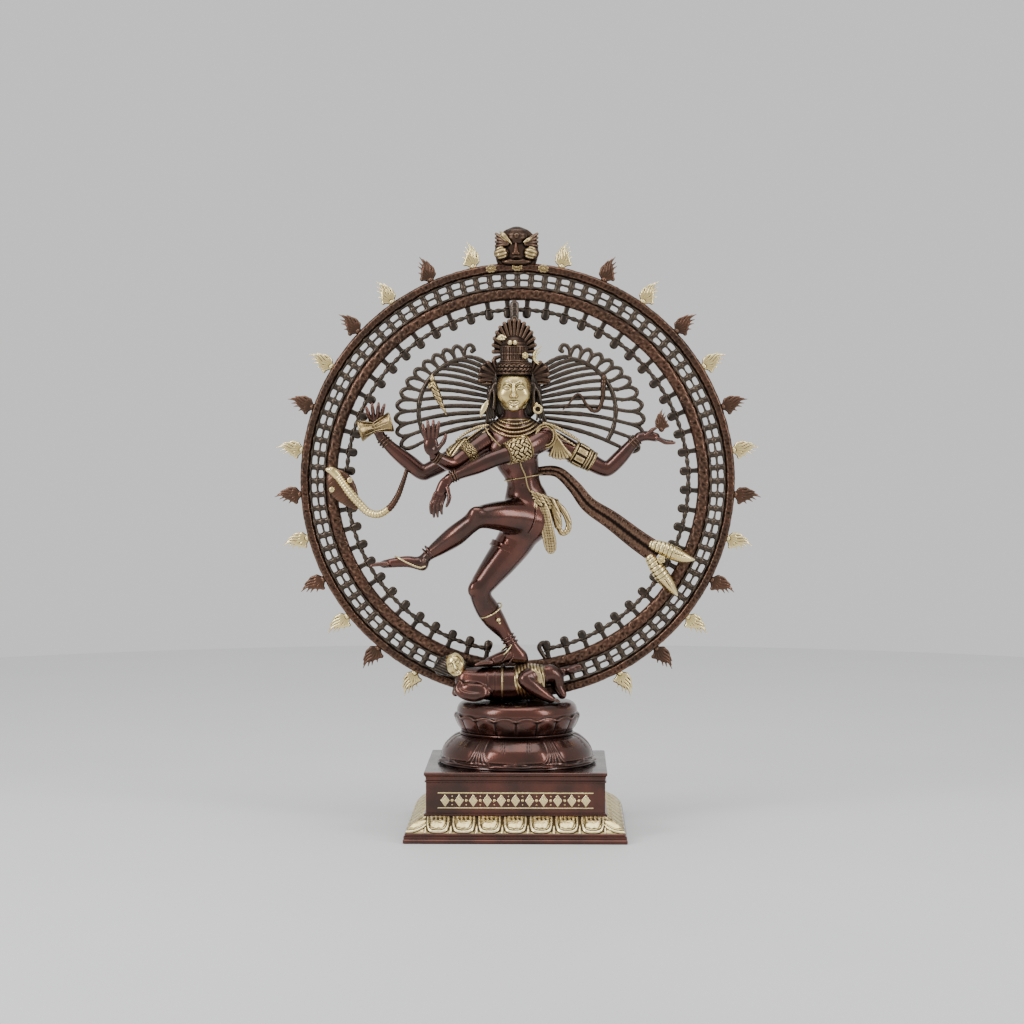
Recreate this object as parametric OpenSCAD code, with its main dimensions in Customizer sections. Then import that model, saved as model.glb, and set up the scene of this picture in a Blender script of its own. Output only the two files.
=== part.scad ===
// Dancing figure inside a ring of flames, standing on a lotus and a plinth.
// Millimetres, +Z up, the front faces -Y. The origin is the centre of the plinth's underside.

/* [Plinth] */
// Width of the foot flange
foot_w = 326; // [310:1:340]
// Depth of the foot flange
foot_d = 308; // [292:1:322]
// Height of the foot flange
foot_h = 15; // [12:1:18]
// Height of the sloping petal band
band_h = 21; // [18:1:26]
// Width of the box
box_w = 262; // [250:1:270]
// Depth of the box
box_d = 244; // [232:1:252]
// Height of the box
box_h = 54; // [48:1:70]
// Height of the cornice with the top plate
cornice_h = 10; // [8:1:14]
// Thickness of the cast walls
wall = 5; // [4:0.5:6]

/* [Lotus] */
// Greatest half width of the lotus
lotus_r = 121; // [114:1:124]
// Depth of the lotus over its width
lotus_ratio = 0.95; // [0.9:0.01:0.97]
// Height of the whole lotus
lotus_h = 92; // [88:1:100]

/* [Aureole] */
// Radius over the outer rim
ring_r = 329; // [325:1:340]
// Distance of the ring's plane behind the origin
ring_y = 25; // [25:0.5:28]
// Width of the outer rim
outer_rim_w = 15; // [13:0.5:17]
// Width of the lattice between the rims
lattice_w = 23.3; // [21:0.1:25]
// Width of the inner rim
inner_rim_w = 19.7; // [18:0.1:21]
// Radial length of the hanging fringe
fringe_w = 26; // [22:1:28]
// Number of lattice bars
bar_count = 92; // [80:2:100]
// Number of flames
flame_count = 26; // [22:2:28]
// Height of a flame above the rim
flame_h = 44; // [36:1:48]
// Clearance between the aureole and the base
lift_gap = 0.4; // [0.3:0.1:0.8]

/* [Details] */
// Number of petals on each long side of the plinth
petal_count = 7; // [5:1:8]
// Diameter of the draw bolts
bolt_d = 8; // [6:1:10]
// Number of locks in each hair fan
lock_count = 12; // [8:1:14]

/* [Hidden] */

// Colours
copper = "#5a332a";
gilt = "#c9b97c";
dark = "#3f3a2e";
rim = "#6b4334";

// Heights of the stack
band_z = foot_h;
box_z = band_z + band_h;
cornice_z = box_z + box_h;
lotus_z = cornice_z + cornice_h;
lotus_top = lotus_z + lotus_h;
// The figure's points take the lotus top to be at this height
figure_datum = 192;

// Ring
ring_z = lotus_top + lift_gap + ring_r;
lattice_r = ring_r - outer_rim_w;
inner_rim_r = lattice_r - lattice_w;
fringe_r = inner_rim_r - inner_rim_w;
outer_rim_t = 18;
inner_rim_t = 16;
lattice_t = 8;
fringe_t = 6;
// Half angle of the gap in the fringe at the bottom
fringe_gap = 10;
// Angle from the top to the lowest flame on each side
last_flame = 152;
flame_step = last_flame / (flame_count / 2);
flame_t = 9;
flame_root = 3;

// Tenons and draw bolts
tenon_x = 30;
tenon_w = 22;
tenon_t = 12;
tenon_depth = 24;
socket_gap = 0.5;
bolt_x = 52;
bolt_gap = 0.5;
bolt_tail = 9;
nut_h = 7;

// ---------- shared functions ----------

function xyz(s) = [s[0], s[1], s[2]];
function unit(v) = v / norm(v);
function mix(a, b, t) = a + (b - a) * t;

// Point on the smooth curve through the list p, at u spans from its start
function curve_at(p, u) =
    let (i = min(floor(u), len(p) - 2), t = u - i)
    let (a = p[max(i - 1, 0)], b = p[i], c = p[i + 1], d = p[min(i + 2, len(p) - 1)])
    0.5 * (2 * b + (c - a) * t + (2 * a - 5 * b + 4 * c - d) * t ^ 2 + (3 * b - a - 3 * c + d) * t ^ 3);

function smooth(p, steps) = [for (i = [0:(len(p) - 1) * steps]) curve_at(p, i / steps)];

// A station past the end a, seen from b, which rounds the tube's end
function cap(a, b, k) =
    concat(xyz(a) + unit(xyz(a) - xyz(b)) * a[3] * k, [a[3] * sqrt(1 - k ^ 2)]);

function capped(s) =
    let (n = len(s))
    concat(
        [cap(s[0], s[1], 0.9), cap(s[0], s[1], 0.5)], s,
        [cap(s[n - 1], s[n - 2], 0.5), cap(s[n - 1], s[n - 2], 0.9)]
    );

function heading(s, i) = unit(xyz(s[min(i + 1, len(s) - 1)]) - xyz(s[max(i - 1, 0)]));

// Ring i of a tube: an oval across the path, with its depth along Y
function tube_ring(s, i, sides, depth) =
    let (side = unit(cross(heading(s, i), [0, 1, 0])), up = cross(side, heading(s, i)))
    [for (k = [0:sides - 1])
        xyz(s[i]) + s[i][3] * (cos(360 * k / sides) * side + depth * sin(360 * k / sides) * up)];

function skin(rings, sides) = concat(
    [[for (k = [sides - 1:-1:0]) k]],
    [for (i = [0:rings - 2], k = [0:sides - 1])
        let (a = i * sides + k, b = i * sides + (k + 1) % sides)
        [a, b, b + sides, a + sides]],
    [[for (k = [0:sides - 1]) (rings - 1) * sides + k]]
);

// A closed tube through stations [x, y, z, radius]
module tube(stations, steps = 2, sides = 10, depth = 1) {
    s = capped(smooth(stations, steps));
    polyhedron([for (i = [0:len(s) - 1]) each tube_ring(s, i, sides, depth)], skin(len(s), sides));
}

// A closed solid through level ovals [x, y, z, half width, half depth]
module loft(stations, steps = 2, sides = 16) {
    s = smooth(stations, steps);
    points = [for (p = s, k = [0:sides - 1])
        [p[0] + p[3] * cos(360 * k / sides), p[1] - p[4] * sin(360 * k / sides), p[2]]];
    polyhedron(points, skin(len(s), sides));
}

module ball(s, sides) translate(xyz(s)) sphere(r = s[3], $fn = sides);

// Hulled balls through stations [x, y, z, radius]
module chain(stations, sides = 8) {
    for (i = [0:len(stations) - 2]) {
        hull() {
            ball(stations[i], sides);
            ball(stations[i + 1], sides);
        }
    }
}

// Outline of a flat band through points [x, z, width]
function across(p, i) =
    let (a = p[max(i - 1, 0)], b = p[min(i + 1, len(p) - 1)], d = unit([b[0] - a[0], b[1] - a[1]]))
    [-d[1], d[0]];

function band_outline(p) = concat(
    [for (i = [0:len(p) - 1]) [p[i][0], p[i][1]] + across(p, i) * p[i][2] / 2],
    [for (i = [len(p) - 1:-1:0]) [p[i][0], p[i][1]] - across(p, i) * p[i][2] / 2]
);

// Stands an outline drawn in X and Z upright, t thick about the plane at y
module upright(y, t) {
    translate([0, y + t / 2, 0]) rotate([90, 0, 0]) linear_extrude(t) children();
}

// Turns the child's +Z axis along the line from a to b, at a
module aim(a, b) {
    d = b - a;
    translate(a) rotate([0, acos(d[2] / norm(d)), atan2(d[1], d[0])]) children();
}

// A ring of round wire about +Z
module hoop(r, wire) rotate_extrude() translate([r, 0]) circle(r = wire);

// A flat collar about +Z with a rounded outside
module collar(r, w, h) {
    rotate_extrude() polygon([
        [r, 0], [r + w * 0.7, 0], [r + w, h * 0.3], [r + w, h * 0.7], [r + w * 0.7, h], [r, h]
    ]);
}

// Lifts the figure onto the lotus
module on_lotus() translate([0, 0, lotus_top - figure_datum]) children();

// Carries a child drawn about the ring's centre to its place, turned clockwise from the top
module on_ring(angle = 0) translate([0, ring_y, ring_z]) rotate([0, angle, 0]) children();

function arc(r, from, to, n) = [for (i = [0:n]) let (a = mix(from, to, i / n)) [r * sin(a), r * cos(a)]];

// A closed oval outline of the given width and height
function oval(w, h, n = 16) =
    [for (i = [0:n - 1]) [w / 2 * cos(360 * i / n), h / 2 * sin(360 * i / n)]];

// A pointed tongue that sways to one side and back
function tongue(l, w, sway, n = 7) =
    let (c = [for (i = [0:n]) sway * sin(200 * i / n)], h = [for (i = [0:n]) w / 2 * sqrt(1 - i / n)])
    concat(
        [for (i = [0:n]) [c[i] - h[i], l * i / n]],
        [for (i = [n - 1:-1:0]) [c[i] + h[i], l * i / n]]
    );

// ---------- plinth ----------

// A four sided solid from one rectangle up to another
module frustum(w0, d0, w1, d1, z, h) {
    hull() {
        translate([-w0 / 2, -d0 / 2, z]) cube([w0, d0, 0.01]);
        translate([-w1 / 2, -d1 / 2, z + h - 0.01]) cube([w1, d1, 0.01]);
    }
}

module block(w, d, z, h) translate([-w / 2, -d / 2, z]) cube([w, d, h]);

// The plinth is a hollow casting, open underneath
cavity_w = box_w - 2 * wall;
cavity_d = box_d - 2 * wall;
mouth_w = foot_w - 4 * wall;
mouth_d = foot_d - 4 * wall;

module plinth_cavity(z, h) block(cavity_w, cavity_d, z, h);

module plinth_foot() {
    color(copper) difference() {
        union() {
            block(foot_w, foot_d, 0, foot_h * 0.4);
            block(foot_w - 3, foot_d - 3, foot_h * 0.4, foot_h * 0.35);
            block(foot_w - 7, foot_d - 7, foot_h * 0.75, foot_h * 0.25);
        }
        block(mouth_w, mouth_d, -1, foot_h + 2);
    }
}

module plinth_petal_band() {
    color(gilt) difference() {
        frustum(foot_w - 8, foot_d - 8, box_w + 3, box_d + 3, band_z, band_h);
        frustum(mouth_w, mouth_d, cavity_w, cavity_d, band_z - 0.005, band_h + 0.01);
    }
}

// Rise of the band's slope, and the run under it
slope_run = (foot_w - 8 - box_w - 3) / 2;
slope = atan2(band_h, slope_run);
slope_l = norm([band_h, slope_run]);
petal_t = 2.5;

// One drooping petal lying on the slope of the front face
module petal(w) {
    l = slope_l * 0.86;
    linear_extrude(petal_t) polygon(concat(
        [[-w / 2, l]], [for (a = [180:30:360]) [w / 2 * cos(a), l * 0.45 + l * 0.42 * sin(a)]], [[w / 2, l]]
    ));
}

module petal_row(span, edge, count) {
    pitch = span / count;
    for (i = [0:count - 1]) {
        translate([(i - (count - 1) / 2) * pitch, -edge / 2, band_z]) rotate([slope, 0, 0]) petal(pitch * 0.92);
    }
}

module plinth_petals() {
    color(gilt) {
        petal_row(box_w, foot_d - 8, petal_count);
        rotate(180) petal_row(box_w, foot_d - 8, petal_count);
        rotate(90) petal_row(box_d, foot_w - 8, petal_count);
        rotate(-90) petal_row(box_d, foot_w - 8, petal_count);
    }
}

module plinth_box() {
    color(copper) difference() {
        union() {
            block(box_w, box_d, box_z, box_h);
            block(box_w + 5, box_d + 5, box_z, 3);
            block(box_w + 3, box_d + 3, box_z + box_h - 4, 2);
        }
        plinth_cavity(box_z - 1, box_h + 2);
    }
}

module bolt_places() {
    for (x = [-bolt_x, bolt_x]) translate([x, 0, 0]) children();
}

module plinth_cornice() {
    color(copper) difference() {
        union() {
            block(box_w, box_d, cornice_z, cornice_h * 0.3);
            block(box_w + 3, box_d + 3, cornice_z + cornice_h * 0.3, cornice_h * 0.3);
            block(box_w + 6, box_d + 6, cornice_z + cornice_h * 0.6, cornice_h * 0.4);
        }
        bolt_places() translate([0, 0, cornice_z - 1]) cylinder(h = cornice_h + 2, d = bolt_d + 2 * bolt_gap);
        plinth_cavity(cornice_z - 1, 1 + cornice_h * 0.4);
    }
}

// A row of lozenges and dots between two fillets, raised on the front of the box
ornament_w = 226;
ornament_h = 22;
ornament_t = 1.8;
ornament_count = 11;

module ornament_band() {
    pitch = ornament_w / ornament_count;
    color(gilt) translate([0, -box_d / 2, box_z + box_h * 0.42]) {
        for (z = [-1, 1]) translate([0, -ornament_t / 2, z * ornament_h / 2]) {
            cube([ornament_w, ornament_t, 1.6], center = true);
        }
        for (i = [0:ornament_count - 1]) translate([(i - (ornament_count - 1) / 2) * pitch, 0, 0]) {
            rotate([90, 0, 0]) linear_extrude(ornament_t) polygon([[-6, 0], [0, -8], [6, 0], [0, 8]]);
        }
        for (i = [0:ornament_count - 2]) translate([(i + 1 - ornament_count / 2) * pitch, 0, 0]) {
            rotate([90, 0, 0]) cylinder(h = ornament_t, r = 2);
        }
    }
}

// ---------- lotus ----------

// Level ovals [height, half width] stacked from z up, squeezed front to back
module lotus_turn(z, profile) {
    loft([for (p = profile) [0, 0, z + p[0], p[1], p[1] * lotus_ratio]], 1, 48);
}

lotus_foot_h = 4;
lower_h = lotus_h * 0.43;
collar_h = 3;
upper_z = lotus_z + lotus_foot_h + lower_h + collar_h;
upper_h = lotus_top - upper_z;
waist_r = lotus_r * 0.69;
// The lotus is hollow under its crown, which the draw bolts screw into
core_r = waist_r * lotus_ratio - 7;
foot_core_r = lotus_r * lotus_ratio - 9;
crown_t = 18;
blind = 6;

module lotus_foot() {
    color(copper) difference() {
        lotus_turn(lotus_z, [[0, lotus_r * 0.955], [lotus_foot_h, lotus_r * 0.965]]);
        translate([0, 0, lotus_z - 1]) cylinder(h = lotus_foot_h + 2, r = foot_core_r);
    }
}

module lotus_lower() {
    color(copper) difference() {
        lotus_turn(lotus_z + lotus_foot_h, [
            [0, lotus_r], [lower_h * 0.07, lotus_r * 0.99], [lower_h * 0.2, lotus_r * 0.94],
            [lower_h * 0.38, lotus_r * 0.92], [lower_h * 0.68, lotus_r * 0.85], [lower_h, waist_r + 2]
        ]);
        translate([0, 0, lotus_z + lotus_foot_h]) cylinder(h = lower_h, r1 = foot_core_r, r2 = core_r);
    }
}

module lotus_collar() {
    color(copper) difference() {
        lotus_turn(upper_z - collar_h, [[0, waist_r + 1], [collar_h / 2, waist_r + 3], [collar_h, waist_r + 1]]);
        translate([0, 0, upper_z - collar_h - 1]) cylinder(h = collar_h + 2, r = core_r);
    }
}

module tenon_places() {
    for (x = [-tenon_x, tenon_x]) translate([x, ring_y, 0]) children();
}

module lotus_upper() {
    color(copper) difference() {
        lotus_turn(upper_z, [
            [0, waist_r], [upper_h * 0.33, waist_r * 1.09], [upper_h * 0.53, waist_r * 1.145],
            [upper_h * 0.66, waist_r * 1.08], [upper_h * 0.92, waist_r * 1.03], [upper_h, waist_r]
        ]);
        translate([0, 0, upper_z - 1]) cylinder(h = upper_h - crown_t + 1, r = core_r);
        bolt_places() translate([0, 0, upper_z]) cylinder(h = upper_h - blind, d = bolt_d + 0.04);
        tenon_places() translate([0, 0, lotus_top]) {
            cube([tenon_w + 2 * socket_gap, tenon_t + 2 * socket_gap, 2 * tenon_depth + 10], center = true);
        }
    }
}

module draw_bolts() {
    z0 = cornice_z + cornice_h * 0.4 - bolt_tail;
    color(gilt) bolt_places() translate([0, 0, z0]) cylinder(h = lotus_top - blind - 0.5 - z0, d = bolt_d);
}

module bolt_nuts() {
    color(gilt) bolt_places() translate([0, 0, cornice_z + cornice_h * 0.4 - nut_h]) difference() {
        cylinder(h = nut_h, r = bolt_d * 0.95, $fn = 6);
        translate([0, 0, -1]) cylinder(h = nut_h + 2, d = bolt_d + 0.04);
    }
}

// ---------- demon under the foot ----------

module demon_body() {
    color(copper) on_lotus() union() {
        tube([[-76, -22, 228, 18], [-58, -21, 220, 26], [-30, -20, 219, 27.5], [-4, -19, 219, 27], [20, -18, 220, 25]], 2, 12);
        // Near arm, folded on the lotus
        chain([[-66, -38, 226, 10], [-52, -50, 207, 9], [-74, -54, 201, 8], [-90, -50, 200, 6]]);
        // Far arm
        chain([[-70, -4, 226, 9], [-86, 2, 208, 8], [-104, -6, 200, 6]]);
        // Stretched leg and its foot
        chain([[20, -26, 218, 16], [38, -36, 207, 13], [52, -40, 201, 9], [62, -42, 198, 6]]);
        // Bent leg, knee up, and its foot
        chain([[20, -12, 226, 17], [46, -10, 233, 15], [64, -10, 230, 11], [76, -8, 214, 8], [82, -8, 205, 7]]);
        chain([[82, -8, 205, 7], [94, -16, 200, 5]]);
    }
}

module demon_head() {
    color(dark) on_lotus() union() {
        tube([[-88, -18, 239, 13], [-104, -16, 244, 17], [-117, -14, 240, 12]], 2, 10);
    }
}

module demon_face() {
    color(gilt) on_lotus() translate([-97, -26, 250]) scale([0.95, 0.9, 1]) sphere(r = 15);
}

module demon_loincloth() {
    color(gilt) on_lotus() {
        aim([6, -19, 221.5], [30, -18, 222.5]) collar(23, 4, 24);
        aim([-22, -20, 220.5], [-18, -20, 220.5]) collar(24, 3.4, 3);
    }
}

// ---------- legs and body ----------

module standing_leg() {
    color(copper) on_lotus() union() {
        tube([
            [6, -16, 452, 29], [-4, -18, 430, 27.5], [-24, -22, 403, 25], [-42, -27, 380, 20.5],
            [-54, -31, 362, 18], [-50, -28, 345, 17], [-38, -20, 326, 17.5], [-24, -17, 304, 13.5],
            [-10, -16, 282, 9.5], [2, -14, 264, 10.5]
        ], 2, 12);
        chain([[8, -12, 256, 10.5], [-18, -20, 256, 11], [-42, -26, 253, 8.5]]);
        for (k = [0:4]) chain([[-40, -34 + 4 * k, 253, 5], [-60 + 2 * k, -36 + 4.4 * k, 250, 3.2 - 0.2 * k]], 6);
    }
}

module raised_leg() {
    color(copper) on_lotus() union() {
        tube([
            [22, -22, 463, 29], [0, -36, 470, 26], [-28, -56, 474, 21], [-54, -71, 472, 16.5],
            [-72, -71, 458, 16], [-92, -67, 443, 16], [-114, -62, 427, 12], [-133, -60, 414, 9],
            [-141, -58, 402, 9]
        ], 2, 12);
        chain([[-140, -58, 400, 9], [-166, -60, 403, 9], [-192, -61, 401, 7]]);
        for (k = [0:4]) chain([[-188, -68 + 3.6 * k, 401, 4.4], [-212 + 2 * k, -69 + 4 * k, 399, 3]], 6);
    }
}

module torso() {
    color(copper) on_lotus() loft([
        [12, -17, 444, 20, 16], [14, -17, 454, 31, 24], [15, -17, 470, 35, 27], [15, -17, 486, 35, 26],
        [12, -18, 505, 28, 22], [10, -18, 523, 25, 20], [5, -19, 542, 30, 22], [-1, -20, 560, 39, 26],
        [-3, -20, 575, 44, 27], [-3, -18, 589, 42, 23], [-3, -17, 600, 29, 18], [-3, -18, 609, 18, 16],
        [-3, -20, 622, 16, 15], [-3, -21, 638, 16, 15]
    ], 1, 20);
}

// ---------- head ----------

head_at = [-4, -24, 657];

module head() {
    color(dark) on_lotus() translate(head_at) union() {
        scale([27, 27, 34]) sphere(r = 1, $fn = 28);
        // Long ears
        for (s = [-1, 1]) {
            chain([[25 * s, -3, 9, 4], [29 * s, -3, 5, 4], [29 * s, -4, -6, 3.4], [29 * s, -5, -18, 3.6], [30 * s, -6, -25, 3.2]]);
        }
    }
}

// A calm, even face on plain proportions, set on the front of the head
module face() {
    color(gilt) on_lotus() translate(head_at) {
        difference() {
            union() {
                scale([26.2, 30, 32]) sphere(r = 1, $fn = 28);
                // Nose
                chain([[0, -28, 8, 2.4], [0, -31.5, -4, 3.2], [0, -30.5, -7, 4.2]]);
                // Lips
                chain([[-7, -26.5, -15, 1.4], [0, -28.5, -14.5, 2.4], [7, -26.5, -15, 1.4]]);
                // Brows
                for (s = [-1, 1]) chain([[3 * s, -28.5, 10, 1.2], [11 * s, -27.5, 13, 1.4], [18 * s, -22.5, 10, 1.2]]);
                // Eyes
                for (s = [-1, 1]) chain([[7 * s, -27, 4.5, 2], [15 * s, -23.5, 4.5, 2]]);
            }
            translate([-40, -14, -50]) cube([80, 60, 100]);
            translate([-40, -50, 24]) cube([80, 60, 30]);
        }
    }
}

module headdress() {
    color(copper) on_lotus() translate([-4, -22, 0]) rotate_extrude() polygon([
        [0, 681], [27, 681], [28.5, 683], [28.5, 696], [27, 698], [23, 700], [21.5, 708], [22.5, 718],
        [19, 726], [12, 736], [0, 740]
    ]);
}

// Scalloped fan of ribs with its root at the origin
function fan_outline(w, h, ribs) = concat(
    [[-5, 0]],
    [for (i = [0:2 * ribs])
        let (a = mix(-104, 104, i / (2 * ribs)), k = i % 2 == 0 ? 0.93 : 1)
        [w * k * sin(a), h * 0.25 + h * 0.75 * k * cos(a)]],
    [[5, 0]]
);

module feather_fan() {
    color(copper) on_lotus() upright(-11, 6) translate([-4, 706]) polygon(fan_outline(34, 60, 17));
}

stem_w = 14;
stem_t = 5;
stem_base = [-4, -5, 735];
stem_top = [-4, 11, 790];

module stem_slice(p) translate(p) cube([stem_w, stem_t, 1], center = true);

module crest_stem() {
    color(dark) on_lotus() hull() {
        stem_slice(stem_base);
        stem_slice(stem_top);
    }
}

function flower_outline(r, petals) =
    [for (i = [0:6 * petals - 1]) let (a = 60 * i / petals, q = r * (0.82 + 0.18 * cos(a * petals))) [q * cos(a), q * sin(a)]];

module flower(p, r, t, petals = 6) {
    translate([0, p[1], 0]) upright(0, t) translate([p[0], p[2]]) polygon(flower_outline(r, petals));
}

module crown_ornaments() {
    color(gilt) on_lotus() {
        flower([-22, -40, 733], 7, 6);
        flower([12, -44, 709], 7, 6);
        for (x = [-12, -2]) translate([x, -42, 727]) sphere(r = 4.6);
    }
}

module crescent_moon() {
    color(gilt) on_lotus() upright(-30, 3.5) translate([30, 710]) difference() {
        circle(r = 15);
        translate([9, 4]) circle(r = 14);
    }
}

// Leaf sprays beside the head
module side_leaves() {
    color(copper) on_lotus() upright(-12, 6) for (s = [-1, 1]) translate([-4, 680]) {
        for (k = [0:3]) translate([26 * s, -2 + 4 * k]) rotate(-s * (105 - 24 * k)) polygon(tongue(24, 9, 1));
    }
}

module ear_ornaments() {
    color(gilt) on_lotus() {
        upright(-30, 4) translate([-31, 646]) rotate(148) polygon(tongue(38, 14, 2));
        aim([33, -30, 627], [33, -26, 627]) hoop(7.5, 2);
    }
}

// ---------- hair fans ----------

fan_centre = [60, 630];
lock_w = 4.4;

// Point of a fan at turn t from its top to its lower end, at a radius
function fan_point(t, r) = let (a = mix(9, 114, t)) fan_centre + r * [sin(a), cos(a)];

function arc_r(t) = mix(78, 89, sin(90 * t));
function loop_r(t, reach) = mix(90, reach, t);

// A lock from the head to the end of the fan's loops
function lock_path(t, reach) =
    let (root = [mix(8, 12, t), mix(694, 622, t)], far = fan_point(t, loop_r(t, reach) - 5))
    [for (k = [0:6]) let (u = k / 6, p = mix(root, far, u)) [p[0], p[1] + 7 * sin(180 * u) * (1 - t), lock_w * (1.25 - 0.4 * u)]];

function arc_path() = [for (k = [0:24]) let (p = fan_point(k / 24, arc_r(k / 24))) [p[0], p[1], 4]];

module hair_fan(reach) {
    upright(6, 6) offset(delta = 0.01) union() {
        polygon(band_outline(arc_path()));
        for (i = [0:lock_count - 1]) polygon(band_outline(lock_path(i / (lock_count - 1), reach)));
        for (i = [0:lock_count - 2]) {
            t = (i + 0.5) / (lock_count - 1);
            translate(fan_point(t, loop_r(t, reach) - 6)) difference() {
                circle(r = mix(6.5, 11, t), $fn = 16);
                circle(r = mix(6.5, 11, t) - 3, $fn = 16);
            }
        }
    }
}

module hair_fan_left() color(dark) on_lotus() mirror([1, 0, 0]) hair_fan(122);

module hair_fan_right() color(dark) on_lotus() hair_fan(130);

module river_goddess() {
    color(gilt) on_lotus() tube([
        [-131, 1, 671, 3], [-126, 0, 662, 5], [-120, 0, 652, 4], [-113, 0, 640, 5], [-104, 1, 625, 2]
    ], 1, 8, 0.7);
}

module hair_snake() {
    color(dark) on_lotus() tube([
        [129, 0, 670, 4], [127, 1, 650, 3], [120, 1, 632, 3], [106, 1, 634, 3], [92, 1, 650, 3], [72, 1, 628, 3]
    ], 2, 8);
}

// ---------- arms ----------

// Fingers from a palm's edge: roots and tips run between two lines
module fingers(root_a, root_b, tip_a, tip_b, count, r) {
    for (k = [0:count - 1]) {
        a = mix(root_a, root_b, k / (count - 1));
        b = mix(tip_a, tip_b, k / (count - 1));
        chain([concat(a, r), concat(mix(a, b, 0.55), r * 0.95), concat(b, r * 0.75)], 6);
    }
}

module rear_right_arm() {
    color(copper) on_lotus() union() {
        tube([
            [-40, -12, 586, 19], [-68, -7, 573, 17], [-104, -1, 553, 14.5], [-139, 1, 536, 12.5],
            [-160, 0, 549, 12], [-184, -4, 568, 10], [-206, -8, 590, 7.5]
        ], 2, 12);
        chain([[-206, -8, 590, 7.5], [-210, -10, 604, 8.5], [-212, -11, 614, 8]]);
        fingers([-219, -14, 616], [-205, -14, 618], [-222, -20, 628], [-199, -20, 634], 4, 3.2);
    }
}

module front_right_arm() {
    color(copper) on_lotus() union() {
        tube([
            [-44, -24, 582, 17], [-68, -38, 566, 15], [-92, -51, 550, 12.5], [-108, -62, 555, 10.5],
            [-122, -72, 561, 8]
        ], 2, 12);
        chain([[-122, -73, 562, 8], [-124, -76, 576, 8], [-125, -77, 588, 8]]);
        fingers([-134, -77, 590], [-116, -77, 590], [-137, -78, 608], [-113, -78, 606], 4, 3.4);
        chain([[-116, -77, 572, 5], [-106, -80, 580, 4], [-103, -81, 590, 3]], 6);
    }
}

module front_left_arm() {
    color(copper) on_lotus() union() {
        tube([
            [42, -22, 586, 20], [20, -42, 576, 16.5], [-3, -56, 566, 14], [-22, -64, 560, 12.5],
            [-50, -68, 549, 11.5], [-76, -70, 538, 9.5], [-99, -71, 528, 7]
        ], 2, 12);
        chain([[-99, -71, 528, 7], [-107, -73, 518, 8], [-111, -74, 508, 8]]);
        fingers([-118, -75, 505], [-107, -75, 503], [-123, -76, 474], [-115, -76, 476], 4, 3);
        chain([[-104, -77, 514, 4.5], [-100, -80, 500, 3.6], [-102, -80, 490, 2.8]], 6);
    }
}

module rear_left_arm() {
    color(copper) on_lotus() union() {
        tube([
            [42, -10, 586, 19], [78, -4, 569, 16], [106, 0, 553, 14], [133, 1, 541, 12],
            [152, -1, 556, 11.5], [168, -4, 573, 9.5], [183, -7, 588, 7.5]
        ], 2, 12);
        chain([[183, -7, 588, 7.5], [195, -9, 591, 7.5], [206, -10, 588, 7]]);
        fingers([212, -16, 587], [210, -4, 589], [231, -17, 577], [229, -3, 580], 4, 3);
        chain([[194, -14, 594, 4], [204, -18, 600, 3.2]], 6);
    }
}

// Hourglass drum held by its waist
module drum() {
    color(gilt) on_lotus() aim([-236, -16, 597], [-187, -12, 611]) rotate_extrude() polygon([
        [0, 0], [15, 0], [16.5, 3], [14, 9], [6, 22], [5.5, 26], [7, 30], [13, 42], [15, 48], [13.5, 51], [0, 51]
    ]);
}

module hand_flame() {
    color(gilt) on_lotus() upright(-10, 8) translate([216, 595]) offset(delta = 0.01) union() {
        circle(r = 8, $fn = 20);
        for (k = [-1:1]) rotate(-24 * k) polygon(tongue(34 - 6 * abs(k), 11, 2 + k));
    }
}

// ---------- jewellery ----------

module armlets() {
    color(gilt) on_lotus() {
        aim([-66, -7, 574], [-98, -2, 556]) collar(13, 5.5, 30);
        aim([16, -45, 574], [-16, -61, 563]) collar(11.5, 5, 34);
        aim([82, -3, 567], [114, 0, 550]) collar(12, 4.5, 30);
        aim([-66, -37, 567.5], [-80, -45, 558]) collar(11.5, 4, 10);
    }
}

module bracelets() {
    color(gilt) on_lotus() {
        aim([-195, -6, 578], [-203, -8, 587]) collar(7, 3.4, 8);
        aim([-117, -69, 559], [-122, -72, 561]) collar(6.5, 3.4, 6);
        aim([-90, -71, 532], [-96, -71, 529]) collar(6.5, 3.4, 7);
        aim([173, -5, 578], [180, -6, 585]) collar(7, 3.2, 7);
    }
}

module anklets() {
    color(gilt) on_lotus() {
        aim([-13, -16, 287], [-8, -16, 279]) hoop(10.4, 2.2);
        aim([-20, -17, 297], [-15, -16, 289]) hoop(11.6, 1.6);
        aim([-44, -24, 335], [-36, -19, 322]) collar(15, 4, 4);
        aim([-14, -20, 418], [-20, -21, 410]) collar(24, 4, 4);
        aim([-128, -60, 418], [-134, -60, 413]) hoop(9.8, 2.2);
        aim([12, -29, 466.5], [6, -33, 468.5]) hoop(27, 1.6);
    }
}

module necklaces() {
    color(gilt) on_lotus() for (k = [0:2]) {
        translate([-3, -18 - 1.5 * k, 608 - 7 * k]) rotate([22, 0, 0]) hoop(19 + 5 * k, 2.2);
    }
}

module waist_cord() {
    color(gilt) on_lotus() {
        translate([10, -18, 527]) rotate([0, -12, 0]) hoop(25.5, 2);
        tube([[16, -44, 556, 1.8], [20, -42, 538, 1.8], [24, -39, 520, 1.8], [34, -36, 503, 1.8], [42, -30, 496, 1.8]], 1, 8);
    }
}

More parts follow.
